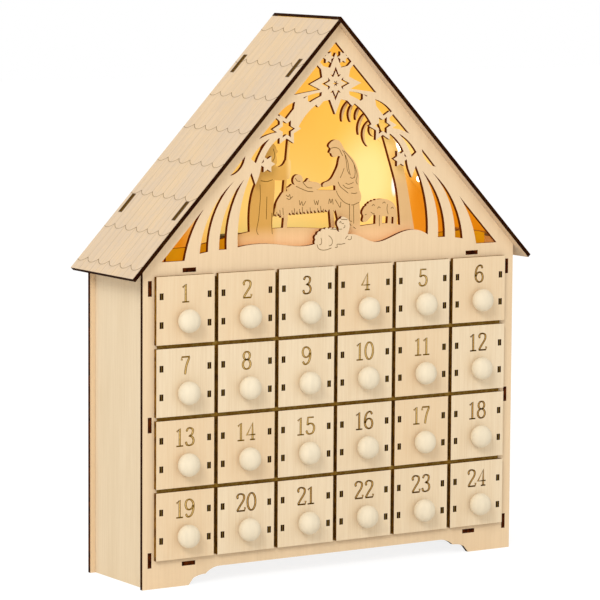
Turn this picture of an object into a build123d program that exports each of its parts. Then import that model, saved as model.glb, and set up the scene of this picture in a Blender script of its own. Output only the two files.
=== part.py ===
"""Wooden advent calendar: a gabled ply house with a lit nativity gable and twenty-four small drawers.

Millimetres, +Z up, the front faces -Y, and the origin is on the floor in the middle of the overall box.
"""

import math
import os

from build123d import *

os.makedirs("parts", exist_ok=True)

# Sheet stock and fits
ply = 3.0
joint_gap = 0.1
running_gap = 0.5
seat_gap = 0.2
overrun = 2.0

# Drawers, which set the house's width and the height of its walls
drawer_columns = 6
drawer_rows = 4
drawer_front_width = 48.3
drawer_front_height = 49.1
drawer_gap_x = 3.24
drawer_gap_z = 2.8
drawer_lap = 2.7
drawer_head = 6.6
drawer_back_gap = 3.8
drawer_tab_height = 4.6
drawer_tab_spread = 20.6
knob_diameter = 17.0
knob_projection = 12.4
knob_widest = 5.4
knob_foot_diameter = 10.8
knob_foot_length = 1.0
knob_drop = 32.3

# House
house_depth = 78.7
drawer_margin = 9.5
base_lift = 3.0
attic_gap = 1.9
eave_drop = 1.9
eave_overhang = 11.9
roof_angle = 46.27
roof_front_overhang = 6.6
roof_back_overhang = 4.8
side_inset = 4.4

# Feet under the front and back panels
foot_width = 38.6
bracket_width = 27.0
arch_height = 11.7
bracket_scroll_shares = [(0.15, 0.42), (0.28, 0.53), (0.53, 0.60), (0.72, 0.88), (1.0, 1.0)]

# Tabs that pass through the panels
tab_length = 11.0
side_tab_height_shares = [0.0923, 0.5233, 0.9543]
board_tab_inset = 38.5
roof_tab_length = 16.6
roof_tab_run_shares = [0.2022, 0.7492]

# Gable fretwork of the front panel, drawn for one half in shares of its half width and height
gable_rim = 9.8
fret_lift = 8.1
corner_window_shares = [(0.871, 0.0), (1.0, 0.0), (0.762, 0.238), (0.827, 0.134)]
outer_slit_shares = [(0.738, 0.036), (0.786, 0.029), (0.718, 0.225), (0.588, 0.362), (0.684, 0.244)]
inner_slit_shares = [(0.631, 0.042), (0.675, 0.042), (0.636, 0.225), (0.531, 0.368), (0.602, 0.238)]
low_crescent_shares = [(0.612, 0.386), (0.526, 0.476), (0.554, 0.416)]
tail_slit_shares = [(0.464, 0.440), (0.493, 0.461), (0.456, 0.505), (0.384, 0.554), (0.435, 0.495)]
star_side_shares = [(0.449, 0.551), (0.348, 0.649), (0.316, 0.625), (0.313, 0.583), (0.374, 0.577)]
garland_gap_shares = [(0.238, 0.723), (0.293, 0.700), (0.340, 0.662), (0.294, 0.639), (0.245, 0.690)]
star_gap_top_shares = [(0.075, 0.765), (0.139, 0.756), (0.201, 0.737)]
star_gap_foot_shares = [(0.184, 0.697), (0.136, 0.725), (0.082, 0.747)]
top_gap_shares = [(0.0, 1.0), (0.245, 0.755), (0.163, 0.767), (0.068, 0.779), (0.0, 0.779)]
arch_side_shares = [(0.568, 0.052), (0.556, 0.212), (0.490, 0.397)]
arch_prong_shares = [(0.466, 0.339), (0.443, 0.388), (0.432, 0.440)]
arch_shoulder_shares = [(0.418, 0.459), (0.381, 0.515), (0.333, 0.554), (0.259, 0.563), (0.218, 0.603)]
arch_crown_shares = [(0.150, 0.681), (0.065, 0.730), (0.0, 0.746)]
front_ground_shares = [
    (-0.568, 0.049),
    (-0.36, 0.055),
    (-0.15, 0.038),
    (0.13, 0.076),
    (0.242, 0.037),
    (0.39, 0.072),
    (0.568, 0.058),
]

# Stars of the garland, in shares of the fretwork's height
big_star_place_shares = (0.0, 0.8032)
big_star_radius_share = 0.1464
big_star_diagonal_share = 0.1211
big_star_valley_share = 0.0820
big_star_eye_share = 0.0176
big_star_eye_valley_share = 0.0059
big_star_slot_share = 0.55
big_star_slot_width = 1.7
big_star_bridge = 3.0
medium_star_radius_share = 0.0801
medium_star_place_shares = (0.286, 0.596)
medium_star_window_share = 0.58
small_star_radius_share = 0.0430
small_star_place_shares = [(0.186, 0.713), (0.397, 0.433)]
top_star_radius_share = 0.0312
top_star_place_shares = (0.043, 0.928)
star_valley_share = 0.56

# Lamb lying in the front panel's ground
lamb_body_size_shares = (0.1510, 0.0937)
lamb_body_place_shares = (-0.0354, 0.0657)
lamb_curl_radius_share = 0.0130
lamb_curl_place_shares = [
    (-0.1048, 0.0527), (-0.1041, 0.0742), (-0.0898, 0.0898), (-0.0694, 0.1009),
    (-0.0463, 0.1054), (-0.0231, 0.1048), (0, 0.1028),
]
lamb_head_shares = [
    [(0.0245, 0.1048), (0.0238, 0.1152), (0.0177, 0.1256), (0.015, 0.1373)],
    [(0.0177, 0.1477), (0.0259, 0.1549), (0.0367, 0.1582)],
    [(0.0422, 0.166), (0.0626, 0.1634), (0.0803, 0.1542)],
    [(0.0884, 0.1399), (0.0912, 0.1204), (0.0844, 0.0944), (0.0776, 0.0735)],
    [(0.0408, 0.0553)],
    [(0.0245, 0.1048)],
]

# Figure sheet behind the gable, drawn in shares of its half width and of the fretwork's height
figure_gap = 3.0
figure_margin = 7.0
figure_tab_inset = 30.0
hill_height_share = 0.1432
hill_shares = [
    (-1.0, 0.62),
    (-0.7, 0.80),
    (-0.55, 0.98),
    (-0.2, 1.08),
    (0.1, 0.98),
    (0.46, 0.95),
    (0.56, 0.72),
    (0.75, 0.66),
    (1.0, 0.55),
]
trunk_shares = [
    [
        (0.4515, 0.0618), (0.4472, 0.1399), (0.4393, 0.218), (0.4186, 0.3352),
        (0.3815, 0.4419), (0.34, 0.5526), (0.3086, 0.6215), (0.2786, 0.6736),
    ],
    [(0.3286, 0.6736)],
    [
        (0.36, 0.6267), (0.4072, 0.5434), (0.4515, 0.4523),
        (0.4843, 0.3482), (0.5143, 0.218), (0.54, 0.1074),
    ],
    [(0.5429, 0.0618)],
    [(0.4515, 0.0618)],
]

# Palm crown on the right trunk, in shares of its own span and drop
palm_size_shares = (0.2429, 0.2473)
palm_place_shares = (0.0357, 0.5305)
palm_stem_outer_shares = [(0.235, 1.03), (0.706, 0.80), (1.15, 0.44)]
palm_stem_inner_shares = [(0.95, 0.42), (0.632, 0.73), (0.235, 0.93)]
palm_leaf_width = 1.8
palm_leaf_shares = [
    [(0.368, 0.908), (0.132, 0.632), (0.147, 0.484)],
    [(0.485, 0.855), (0.312, 0.605), (0.371, 0.468)],
    [(0.632, 0.779), (0.497, 0.618), (0.506, 0.505)],
    [(0.779, 0.653), (0.565, 0.395), (0.582, 0.216)],
    [(0.926, 0.513), (0.682, 0.211), (0.818, -0.016)],
    [(1.088, 0.434), (0.871, 0.253), (0.988, 0.168)],
]

# Figures on the sheet, each outlined by runs of points in the sheet's shares
man_shares = [
    [(-0.4943, 0.1204), (-0.4986, 0.205), (-0.4943, 0.2701), (-0.4829, 0.3222), (-0.4615, 0.3716)],
    [(-0.4729, 0.41), (-0.4615, 0.4491), (-0.4286, 0.4745), (-0.3965, 0.4823)],
    [(-0.3607, 0.4719), (-0.3372, 0.4536)],
    [(-0.3186, 0.4484), (-0.2972, 0.4549), (-0.2814, 0.4732)],
    [(-0.2686, 0.4823), (-0.2486, 0.4758)],
    [(-0.2472, 0.4328), (-0.2557, 0.3898)],
    [(-0.3, 0.3833), (-0.3457, 0.3859)],
    [(-0.3486, 0.2961), (-0.3572, 0.205), (-0.3529, 0.1204)],
    [(-0.4943, 0.1204)],
]
man_head_shares = [
    [
        (-0.4172, 0.4953), (-0.4257, 0.5278), (-0.4072, 0.5565), (-0.3757, 0.5643),
        (-0.3472, 0.5526), (-0.3357, 0.5317),
    ],
    [(-0.3272, 0.5174), (-0.3357, 0.5122)],
    [(-0.3343, 0.494), (-0.3315, 0.4745), (-0.3543, 0.451)],
    [(-0.39, 0.4627), (-0.4172, 0.4953)],
]
staff_width = 2.2
staff_shares = [(-0.2972, 0.205), (-0.2564, 0.5825)]
manger_shares = [
    (-0.3543, 0.2115), (-0.3472, 0.2441), (-0.335, 0.274), (-0.3257, 0.2909),
    (-0.2972, 0.3248), (-0.2686, 0.3313), (-0.2729, 0.3456), (-0.2529, 0.3521),
    (-0.2372, 0.3632), (-0.2072, 0.3547), (-0.1, 0.33), (-0.0571, 0.328), (0.0329, 0.3235),
    (0.0614, 0.2961), (0.05, 0.2219),
]
straw_tooth_count = 18
straw_tooth_height = 2.2
manger_leg_width = 3.3
manger_leg_shares = [
    [(-0.2729, 0.231), (-0.2836, 0.1237)],
    [(0.0071, 0.2441), (0.0207, 0.1237)],
]
child_head_radius_share = 0.0273
child_head_place_shares = (-0.2014, 0.3801)
child_size_shares = (0.1572, 0.0469)
child_place_shares = (-0.1357, 0.3482)
child_leg_size_shares = (0.0629, 0.0286)
child_leg_place_shares = (-0.0893, 0.3495)
child_arm_width = 1.8
child_arm_shares = [(-0.1557, 0.3612), (-0.1322, 0.3833)]
woman_shares = [
    [(0.06, 0.1204), (0.0529, 0.1725), (0.0414, 0.2115), (0.0336, 0.2349)],
    [(0.0329, 0.3235), (0.0314, 0.3456)],
    [(0.0107, 0.3475), (-0.0179, 0.343), (-0.0414, 0.3417)],
    [(-0.0486, 0.3501), (-0.04, 0.3612), (-0.0214, 0.3671), (-0.0064, 0.3723)],
    [
        (0.01, 0.3846), (0.0243, 0.4042), (0.0386, 0.4263), (0.0479, 0.4471), (0.0521, 0.4666),
        (0.06, 0.4842),
    ],
    [(0.0471, 0.4868), (0.03, 0.4823), (0.0157, 0.4849)],
    [(0.0086, 0.4927), (0.0064, 0.4979), (0.0014, 0.5024)],
    [(-0.0064, 0.5057), (-0.0029, 0.5148), (0.0007, 0.5213), (-0.0064, 0.5291)],
    [
        (-0.0114, 0.5382), (0.0014, 0.5545), (0.0229, 0.5643), (0.0471, 0.563),
        (0.0671, 0.5473), (0.0829, 0.5239), (0.1057, 0.4998), (0.1372, 0.4738), (0.16, 0.4458),
        (0.1743, 0.4146), (0.1814, 0.3807), (0.18, 0.3456), (0.185, 0.317),
    ],
    [(0.1943, 0.2974), (0.1957, 0.2766), (0.185, 0.2584)],
    [(0.1893, 0.218), (0.19, 0.166), (0.1879, 0.1204)],
    [(0.06, 0.1204)],
]
sheep_shares = [
    [(0.2136, 0.1634), (0.2057, 0.1738), (0.2093, 0.1868), (0.2086, 0.1979)],
    [(0.2029, 0.2102), (0.2086, 0.2245), (0.2157, 0.2336)],
    [
        (0.23, 0.2415), (0.2457, 0.2551), (0.2643, 0.2623), (0.2857, 0.2675), (0.3143, 0.2714),
        (0.3429, 0.2701), (0.3715, 0.2636), (0.3972, 0.2506), (0.4157, 0.231), (0.4243, 0.205),
        (0.4257, 0.166), (0.4243, 0.1237),
    ],
    [(0.4015, 0.1237)],
    [(0.4036, 0.1809)],
    [(0.3907, 0.1822)],
    [(0.3879, 0.1237)],
    [(0.3636, 0.1237)],
    [(0.3672, 0.1855)],
    [(0.3307, 0.1874)],
    [(0.3279, 0.1237)],
    [(0.2864, 0.1237)],
    [(0.2886, 0.1933)],
    [(0.2743, 0.1979)],
    [(0.2572, 0.1868), (0.24, 0.1712), (0.2136, 0.1634)],
]
sheep_curl_radius_share = 0.0091
sheep_curl_place_shares = [(0.2257, 0.231), (0.2386, 0.2428), (0.2529, 0.2519), (0.2714, 0.2584), (0.2929, 0.2629)]

# Lamps under the roof
lamp_count = 3
lamp_spacing = 31.8
lamp_strip_margin = 7.0
lamp_strip_width = 8.0
lamp_strip_thickness = 1.6
lamp_run_share = 0.533
lamp_diameter = 5.0
lamp_length = 6.4
lamp_setback = 8.0

# Battery box behind the attic's ground
cell_diameter = 10.5
cell_length = 44.5
cell_count = 2
battery_wall = 1.5
battery_clearance = 0.4
cell_nub_length_share = 0.03
cell_nub_width_share = 0.36
contact_thickness = 0.6
contact_size = 8.0
contact_reach = 1.4
contact_dimple_diameter = 5.0
switch_bay = 16.0
switch_slider_width = 5.0
switch_slider_height = 4.0
switch_travel = 4.0
switch_projection = 1.6
switch_guide_thickness = 1.5
switch_guide_margin = 2.0
cover_lip = 1.0
cover_grip_count = 5
cover_grip_pitch = 2.4
cover_grip_depth = 0.5
cover_grip_width = 1.0

# Drawer boxes and the walls round them
drawer_pitch_x = drawer_front_width + drawer_gap_x
drawer_pitch_z = drawer_front_height + drawer_gap_z
drawer_box_width = drawer_front_width - 2 * drawer_lap
drawer_box_height = drawer_front_height - running_gap - drawer_head
drawer_box_length = house_depth - ply + seat_gap - joint_gap - drawer_back_gap
drawer_block_width = drawer_columns * drawer_pitch_x - drawer_gap_x
drawer_block_height = drawer_rows * drawer_pitch_z - drawer_gap_z
opening_lap = drawer_lap - running_gap
opening_width = drawer_block_width - 2 * opening_lap
opening_height = drawer_block_height - opening_lap - running_gap / 2
base_board_height = arch_height + base_lift
base_top = base_board_height + ply
drawer_first_height = base_top + ply
opening_middle = drawer_first_height + running_gap / 2 + opening_height / 2
attic_floor_height = drawer_first_height + drawer_block_height + attic_gap
attic_top = attic_floor_height + ply
house_width = drawer_block_width + 2 * drawer_margin
half_width = house_width / 2
board_tab_reach = half_width - board_tab_inset
side_tab_heights = [share * attic_floor_height for share in side_tab_height_shares]
slot_width = ply + 2 * joint_gap

# Depths, with the origin in the middle between the knobs' tips and the roof's back edge
drawer_projection = seat_gap + ply + knob_projection
overall_depth = drawer_projection + house_depth + roof_back_overhang
front_y = drawer_projection - overall_depth / 2
back_y = front_y + house_depth
middle_y = (front_y + back_y) / 2
inner_depth = house_depth - 2 * ply

# Roof and the panels under it
slope_rise = math.tan(math.radians(roof_angle))
slope_cos = math.cos(math.radians(roof_angle))
slope_sin = math.sin(math.radians(roof_angle))
roof_half_span = half_width + eave_overhang
ridge_height = attic_floor_height - eave_drop + roof_half_span * slope_rise
slope_length = roof_half_span / slope_cos
roof_tab_runs = [share * slope_length for share in roof_tab_run_shares]
underside_ridge = ridge_height - ply / slope_cos
panel_peak = underside_ridge - joint_gap / slope_cos
side_face = half_width - side_inset
side_height = underside_ridge - side_face * slope_rise - joint_gap
side_inner = side_face - ply

# Fretwork and figure sheet, fitted to the gable
fret_base = attic_floor_height + fret_lift
fret_half_width = (panel_peak - fret_base) / slope_rise - gable_rim / slope_sin
fret_height = fret_half_width * slope_rise
figure_half_width = fret_half_width - figure_margin
figure_tab_reach = figure_half_width - figure_tab_inset
figure_y = front_y + ply + figure_gap + ply / 2
figure_floor = attic_top + joint_gap


def fret(shares):
    """Points of the front fretwork from shares of its half width and height."""
    return [(u * fret_half_width, fret_base + v * fret_height) for u, v in shares]


def scene(shares):
    """Points of the figure sheet from shares of its half width and of the fretwork's height."""
    return [(u * figure_half_width, figure_floor + v * fret_height) for u, v in shares]


def figure(shares, place_shares, size_shares):
    """Points of one figure's outline from shares of its own size, placed on the figure sheet."""
    place = scene([place_shares])[0]
    width, height = size_shares[0] * figure_half_width, size_shares[1] * fret_height
    return [(place[0] + u * width, place[1] + v * height) for u, v in shares]


def star(points, tip, valley, turn=0.0):
    """Corner points of a star with straight flanks, its tips at one radius or at two by turns."""
    tips = tip if isinstance(tip, tuple) else (tip, tip)
    corners = []
    for step in range(2 * points):
        radius = valley if step % 2 else tips[(step // 2) % 2]
        angle = math.radians(turn + step * 180.0 / points)
        corners.append((radius * math.cos(angle), radius * math.sin(angle)))
    return corners


def outline(runs):
    """A face inside runs of points, straight for one new point and smooth for more, each from the last."""
    with BuildSketch() as face:
        with BuildLine():
            start = runs[-1][-1]
            for run in runs:
                if run[0] == start:
                    run = run[1:]
                if len(run) == 1:
                    Line(start, run[0])
                elif run:
                    Spline(start, *run)
                start = run[-1]
        make_face()
    return face.sketch


def slope_point(run, lift, side):
    """Point of the house section at a run down the slope and a lift off the roof's top face."""
    across = run * slope_cos + lift * slope_sin
    return (side * across, ridge_height - run * slope_sin + lift * slope_cos)


def slope_strip(first_run, last_run, low, high, side):
    """A face of the house section that lies along one slope, for an open sketch."""
    Polygon(
        slope_point(first_run, low, side),
        slope_point(last_run, low, side),
        slope_point(last_run, high, side),
        slope_point(first_run, high, side),
    )


def house_section():
    """The front and back panels' outline, with feet below and a gable with roof tabs above."""
    arch_start = half_width - foot_width
    scroll = [(arch_start - u * bracket_width, v * arch_height) for u, v in bracket_scroll_shares]
    with BuildSketch() as section:
        with BuildLine():
            Line((0, arch_height), scroll[4])
            ThreePointArc(scroll[4], scroll[3], scroll[2])
            ThreePointArc(scroll[2], scroll[1], scroll[0])
            Polyline(
                scroll[0],
                (arch_start, 0),
                (half_width, 0),
                (half_width, panel_peak - half_width * slope_rise),
                (0, panel_peak),
                (0, arch_height),
            )
        make_face()
        for run in roof_tab_runs:
            slope_strip(run - roof_tab_length / 2, run + roof_tab_length / 2, -ply - overrun, 0, 1)
        mirror(about=Plane.YZ)
    return section.sketch


def panel_slots():
    """Slots in the front and back panels for the side panels', base board's and attic floor's tabs."""
    tab_slot = tab_length + 2 * joint_gap
    for height in side_tab_heights:
        with Locations((side_face - ply / 2, height), (ply / 2 - side_face, height)):
            Rectangle(slot_width, tab_slot, mode=Mode.SUBTRACT)
    for height in (base_board_height, attic_floor_height):
        middle = height + ply / 2
        with Locations((board_tab_reach, middle), (-board_tab_reach, middle)):
            Rectangle(tab_slot, slot_width, mode=Mode.SUBTRACT)


drawer_places = [
    (
        (column - (drawer_columns - 1) / 2) * drawer_pitch_x,
        drawer_first_height + (drawer_rows - 1 - row) * drawer_pitch_z,
    )
    for row in range(drawer_rows)
    for column in range(drawer_columns)
]

front_plane = Plane.XZ.offset(-front_y - ply)
back_plane = Plane.XZ.offset(-back_y)

with BuildSketch(front_plane) as gable_fretwork:
    window = fret(corner_window_shares)
    with BuildLine():
        Polyline(window[0], window[1], window[2])
        ThreePointArc(window[2], window[3], window[0])
    make_face()
    for shares in (outer_slit_shares, inner_slit_shares, tail_slit_shares):
        slit = fret(shares)
        with BuildLine():
            Line(slit[0], slit[1])
            ThreePointArc(slit[1], slit[2], slit[3])
            ThreePointArc(slit[3], slit[4], slit[0])
        make_face()
    crescent = fret(low_crescent_shares)
    with BuildLine():
        Line(crescent[0], crescent[1])
        ThreePointArc(crescent[1], crescent[2], crescent[0])
    make_face()
    side = fret(star_side_shares)
    with BuildLine():
        Polyline(side[0], side[1], side[2], side[3])
        ThreePointArc(side[3], side[4], side[0])
    make_face()
    gap = fret(garland_gap_shares)
    with BuildLine():
        ThreePointArc(gap[0], gap[1], gap[2])
        Polyline(gap[2], gap[3], gap[4], gap[0])
    make_face()
    gap_top = fret(star_gap_top_shares)
    gap_foot = fret(star_gap_foot_shares)
    with BuildLine():
        ThreePointArc(*gap_top)
        Line(gap_top[2], gap_foot[0])
        ThreePointArc(*gap_foot)
        Line(gap_foot[2], gap_top[0])
    make_face()
    top = fret(top_gap_shares)
    with BuildLine():
        Line(top[0], top[1])
        ThreePointArc(top[1], top[2], top[3])
        Polyline(top[3], top[4], top[0])
    make_face()
    flank = fret(arch_side_shares)
    prong = fret(arch_prong_shares)
    shoulder = fret(arch_shoulder_shares)
    crown = fret(arch_crown_shares)
    with BuildLine():
        Polyline((0, fret_base), (flank[0][0], fret_base), flank[0])
        ThreePointArc(flank[0], flank[1], flank[2])
        Line(flank[2], prong[0])
        ThreePointArc(prong[0], prong[1], prong[2])
        Line(prong[2], shoulder[0])
        ThreePointArc(shoulder[0], shoulder[1], shoulder[2])
        Polyline(shoulder[2], shoulder[3], shoulder[4])
        ThreePointArc(shoulder[4], crown[0], crown[1])
        Polyline(crown[1], crown[2], (0, fret_base))
    make_face()
    mirror(about=Plane.YZ)
    ground = fret(front_ground_shares)
    with BuildLine():
        Spline(*ground)
        Polyline(
            ground[-1],
            (ground[-1][0], fret_base - overrun),
            (ground[0][0], fret_base - overrun),
            ground[0],
        )
    make_face(mode=Mode.SUBTRACT)
    with Locations(*fret([lamb_body_place_shares])):
        size = [share * fret_height for share in lamb_body_size_shares]
        Ellipse(size[0] / 2, size[1] / 2, mode=Mode.SUBTRACT)
    with Locations(*fret(lamb_curl_place_shares)):
        Circle(lamb_curl_radius_share * fret_height, mode=Mode.SUBTRACT)
    add(outline([fret(shares) for shares in lamb_head_shares]), mode=Mode.SUBTRACT)
    for places, radius_share in (
        (fret([medium_star_place_shares]), medium_star_radius_share),
        (fret(small_star_place_shares), small_star_radius_share),
        (fret([top_star_place_shares]), top_star_radius_share),
    ):
        radius = radius_share * fret_height
        for place in places:
            with Locations(place, (-place[0], place[1])):
                Polygon(*star(6, radius, radius * star_valley_share), mode=Mode.SUBTRACT)
    tips = (big_star_radius_share * fret_height, big_star_diagonal_share * fret_height)
    valley = big_star_valley_share * fret_height
    slot_tips = (tips[0] * big_star_slot_share, tips[1] * big_star_slot_share)
    slot_valley = valley * big_star_slot_share
    core_share = (slot_valley - big_star_slot_width) / slot_valley
    core_tips = (slot_tips[0] * core_share, slot_tips[1] * core_share)
    with Locations(*fret([big_star_place_shares])):
        Polygon(*star(8, tips, valley), mode=Mode.SUBTRACT)
        Polygon(*star(8, slot_tips, slot_valley))
        Polygon(*star(8, core_tips, slot_valley * core_share), mode=Mode.SUBTRACT)
        for turn in (45, -45):
            Rectangle(2 * tips[0], big_star_bridge, rotation=turn, mode=Mode.SUBTRACT)
        Polygon(*star(6, big_star_eye_share * fret_height, big_star_eye_valley_share * fret_height))
    place = fret([medium_star_place_shares])[0]
    with Locations(place, (-place[0], place[1])):
        hole = medium_star_radius_share * fret_height * medium_star_window_share
        Polygon(*star(6, hole, hole * star_valley_share))

with BuildPart() as front_panel:
    with BuildSketch(front_plane):
        add(house_section())
        panel_slots()
        with Locations((0, opening_middle)):
            Rectangle(opening_width, opening_height, mode=Mode.SUBTRACT)
    extrude(amount=ply)
    extrude(gable_fretwork.sketch, amount=ply, mode=Mode.SUBTRACT)
front_panel.part.label = "front_panel"
export_step(front_panel.part, "parts/front_panel.step")

# Battery box places, shared by the back panel's openings
bay_length = cell_count * cell_length + 2 * (contact_thickness + contact_reach + battery_clearance)
bay_height = cell_diameter + 2 * battery_clearance
battery_height = bay_height + 2 * battery_wall
battery_depth = bay_height + battery_wall
battery_length = bay_length + switch_bay + 3 * battery_wall
battery_left = -battery_length / 2
battery_bottom = attic_top + joint_gap
battery_middle = battery_bottom + battery_height / 2
bay_middle = battery_left + battery_wall + bay_length / 2
switch_middle = battery_left + 2 * battery_wall + bay_length + switch_bay / 2
cover_length = bay_length + 2 * cover_lip
cover_height = bay_height + 2 * cover_lip
switch_slot = switch_slider_width + switch_travel + 2 * running_gap

with BuildPart() as back_panel:
    with BuildSketch(back_plane):
        add(house_section())
        panel_slots()
        with Locations((bay_middle, battery_middle)):
            Rectangle(cover_length + 2 * running_gap, cover_height + 2 * running_gap, mode=Mode.SUBTRACT)
        with Locations((switch_middle, battery_middle)):
            Rectangle(switch_slot, switch_slider_height + 2 * running_gap, mode=Mode.SUBTRACT)
    extrude(amount=ply)
back_panel.part.label = "back_panel"
export_step(back_panel.part, "parts/back_panel.step")


def side_outline():
    """A side panel with three tabs into the front panel and three into the back panel, for an open sketch."""
    with Locations((middle_y, side_height / 2)):
        Rectangle(inner_depth - 2 * joint_gap, side_height)
    with Locations(*[(middle_y, height) for height in side_tab_heights]):
        Rectangle(house_depth, tab_length)


with BuildPart() as left_side:
    with BuildSketch(Plane.YZ.offset(-side_face)):
        side_outline()
    extrude(amount=ply)
left_side.part.label = "left_side"
export_step(left_side.part, "parts/left_side.step")

with BuildPart() as right_side:
    with BuildSketch(Plane.YZ.offset(side_inner)):
        side_outline()
    extrude(amount=ply)
right_side.part.label = "right_side"
export_step(right_side.part, "parts/right_side.step")


def tabbed_board():
    """A level board between the side panels with two tabs forward and two back, for an open sketch."""
    with Locations((0, middle_y)):
        Rectangle(2 * (side_inner - joint_gap), inner_depth - 2 * joint_gap)
    with Locations((board_tab_reach, middle_y), (-board_tab_reach, middle_y)):
        Rectangle(tab_length, house_depth)


with BuildPart() as base_board:
    with BuildSketch(Plane.XY.offset(base_board_height)):
        tabbed_board()
    extrude(amount=ply)
base_board.part.label = "base_board"
export_step(base_board.part, "parts/base_board.step")

with BuildPart() as attic_floor:
    with BuildSketch(Plane.XY.offset(attic_floor_height)):
        tabbed_board()
    extrude(amount=ply)
    with BuildSketch(Plane.XY.offset(attic_floor_height)):
        with Locations((figure_tab_reach, figure_y), (-figure_tab_reach, figure_y)):
            Rectangle(tab_length + 2 * joint_gap, slot_width)
    extrude(amount=ply, mode=Mode.SUBTRACT)
attic_floor.part.label = "attic_floor"
export_step(attic_floor.part, "parts/attic_floor.step")

# Egg-crate grid that carries the drawers: level shelves notched from the back, uprights from the front,
# with front edges that stand flush in the front panel's opening
upright_places = [(column - drawer_columns / 2) * drawer_pitch_x for column in range(1, drawer_columns)]
shelf_heights = [drawer_first_height - ply + row * drawer_pitch_z for row in range(drawer_rows)]
grid_depth = inner_depth - 2 * joint_gap

with BuildPart() as drawer_shelves:
    with BuildSketch(*[Plane.XY.offset(height) for height in shelf_heights]):
        with Locations((0, middle_y)):
            Rectangle(2 * (side_inner - joint_gap), grid_depth)
        with Locations(*[(x, middle_y + grid_depth / 4) for x in upright_places]):
            Rectangle(slot_width, grid_depth / 2 + joint_gap, mode=Mode.SUBTRACT)
    extrude(amount=ply)
    with BuildSketch(*[Plane.XY.offset(height) for height in shelf_heights[1:]]):
        with Locations((0, front_y + ply)):
            Rectangle(opening_width - 2 * joint_gap, 2 * ply)
    extrude(amount=ply)
drawer_shelves.part.label = "drawer_shelves"
export_step(drawer_shelves.part, "parts/drawer_shelves.step")

upright_bottom = base_top + joint_gap
upright_top = attic_floor_height - joint_gap
upright_notch = middle_y - front_y + overrun

with BuildPart() as drawer_uprights:
    with BuildSketch(*[Plane.YZ.offset(x - ply / 2) for x in upright_places]):
        with Locations((middle_y, (upright_bottom + upright_top) / 2)):
            Rectangle(grid_depth, upright_top - upright_bottom)
        with Locations((front_y + ply, opening_middle)):
            Rectangle(2 * ply, opening_height - 2 * joint_gap)
        notch_middle = middle_y + joint_gap / 2 - upright_notch / 2
        with Locations(*[(notch_middle, height + ply / 2) for height in shelf_heights]):
            Rectangle(upright_notch, slot_width, mode=Mode.SUBTRACT)
    extrude(amount=ply)
drawer_uprights.part.label = "drawer_uprights"
export_step(drawer_uprights.part, "parts/drawer_uprights.step")

# Roof panels, the right one lapping over the left one's top edge
roof_depth = house_depth + roof_front_overhang + roof_back_overhang
roof_plane = Plane.XZ.offset(-back_y - roof_back_overhang)
lap_run = ply * max(slope_rise, 1 / math.sin(math.radians(2 * roof_angle))) + joint_gap
tab_middles = (front_y + ply / 2, back_y - ply / 2)
tab_planes = [Plane.XZ.offset(slot_width / 2 - middle) for middle in tab_middles]
tab_reach = roof_tab_length / 2 + joint_gap

with BuildPart() as left_roof:
    with BuildSketch(roof_plane):
        slope_strip(lap_run, slope_length, -ply, 0, -1)
    extrude(amount=roof_depth)
    with BuildSketch(*tab_planes):
        for run in roof_tab_runs:
            slope_strip(run - tab_reach, run + tab_reach, -ply - overrun, overrun, -1)
    extrude(amount=-slot_width, mode=Mode.SUBTRACT)
left_roof.part.label = "left_roof"
export_step(left_roof.part, "parts/left_roof.step")

with BuildPart() as right_roof:
    with BuildSketch(roof_plane):
        slope_strip(0, slope_length, -ply, 0, 1)
    extrude(amount=roof_depth)
    with BuildSketch(*tab_planes):
        for run in roof_tab_runs:
            slope_strip(run - tab_reach, run + tab_reach, -ply - overrun, overrun, 1)
    extrude(amount=-slot_width, mode=Mode.SUBTRACT)
right_roof.part.label = "right_roof"
export_step(right_roof.part, "parts/right_roof.step")


def bar(start, end, width):
    """A straight bar of one width between two points, for an open sketch."""
    run, rise = end[0] - start[0], end[1] - start[1]
    length = math.hypot(run, rise)
    with Locations(((start[0] + end[0]) / 2, (start[1] + end[1]) / 2)):
        Rectangle(length, width, rotation=math.degrees(math.atan2(rise, run)))


def leaf(root, belly, tip):
    """A slim leaf between two arcs that meet at its root and its tip."""
    with BuildSketch() as outline:
        with BuildLine():
            ThreePointArc(root, belly, tip)
            ThreePointArc(tip, (belly[0] + palm_leaf_width, belly[1]), root)
        make_face()
    return outline.sketch


hill = scene([(u, v * hill_height_share) for u, v in hill_shares])
stem_outer = figure(palm_stem_outer_shares, palm_place_shares, palm_size_shares)
stem_inner = figure(palm_stem_inner_shares, palm_place_shares, palm_size_shares)
manger = scene(manger_shares)
straw_steps = 2 * straw_tooth_count
straw_run = [(manger[0][axis] - manger[-1][axis]) / straw_steps for axis in (0, 1)]
straw = [
    (
        manger[-1][0] + step * straw_run[0],
        manger[-1][1] + step * straw_run[1] + step % 2 * straw_tooth_height,
    )
    for step in range(1, straw_steps)
]

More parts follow.
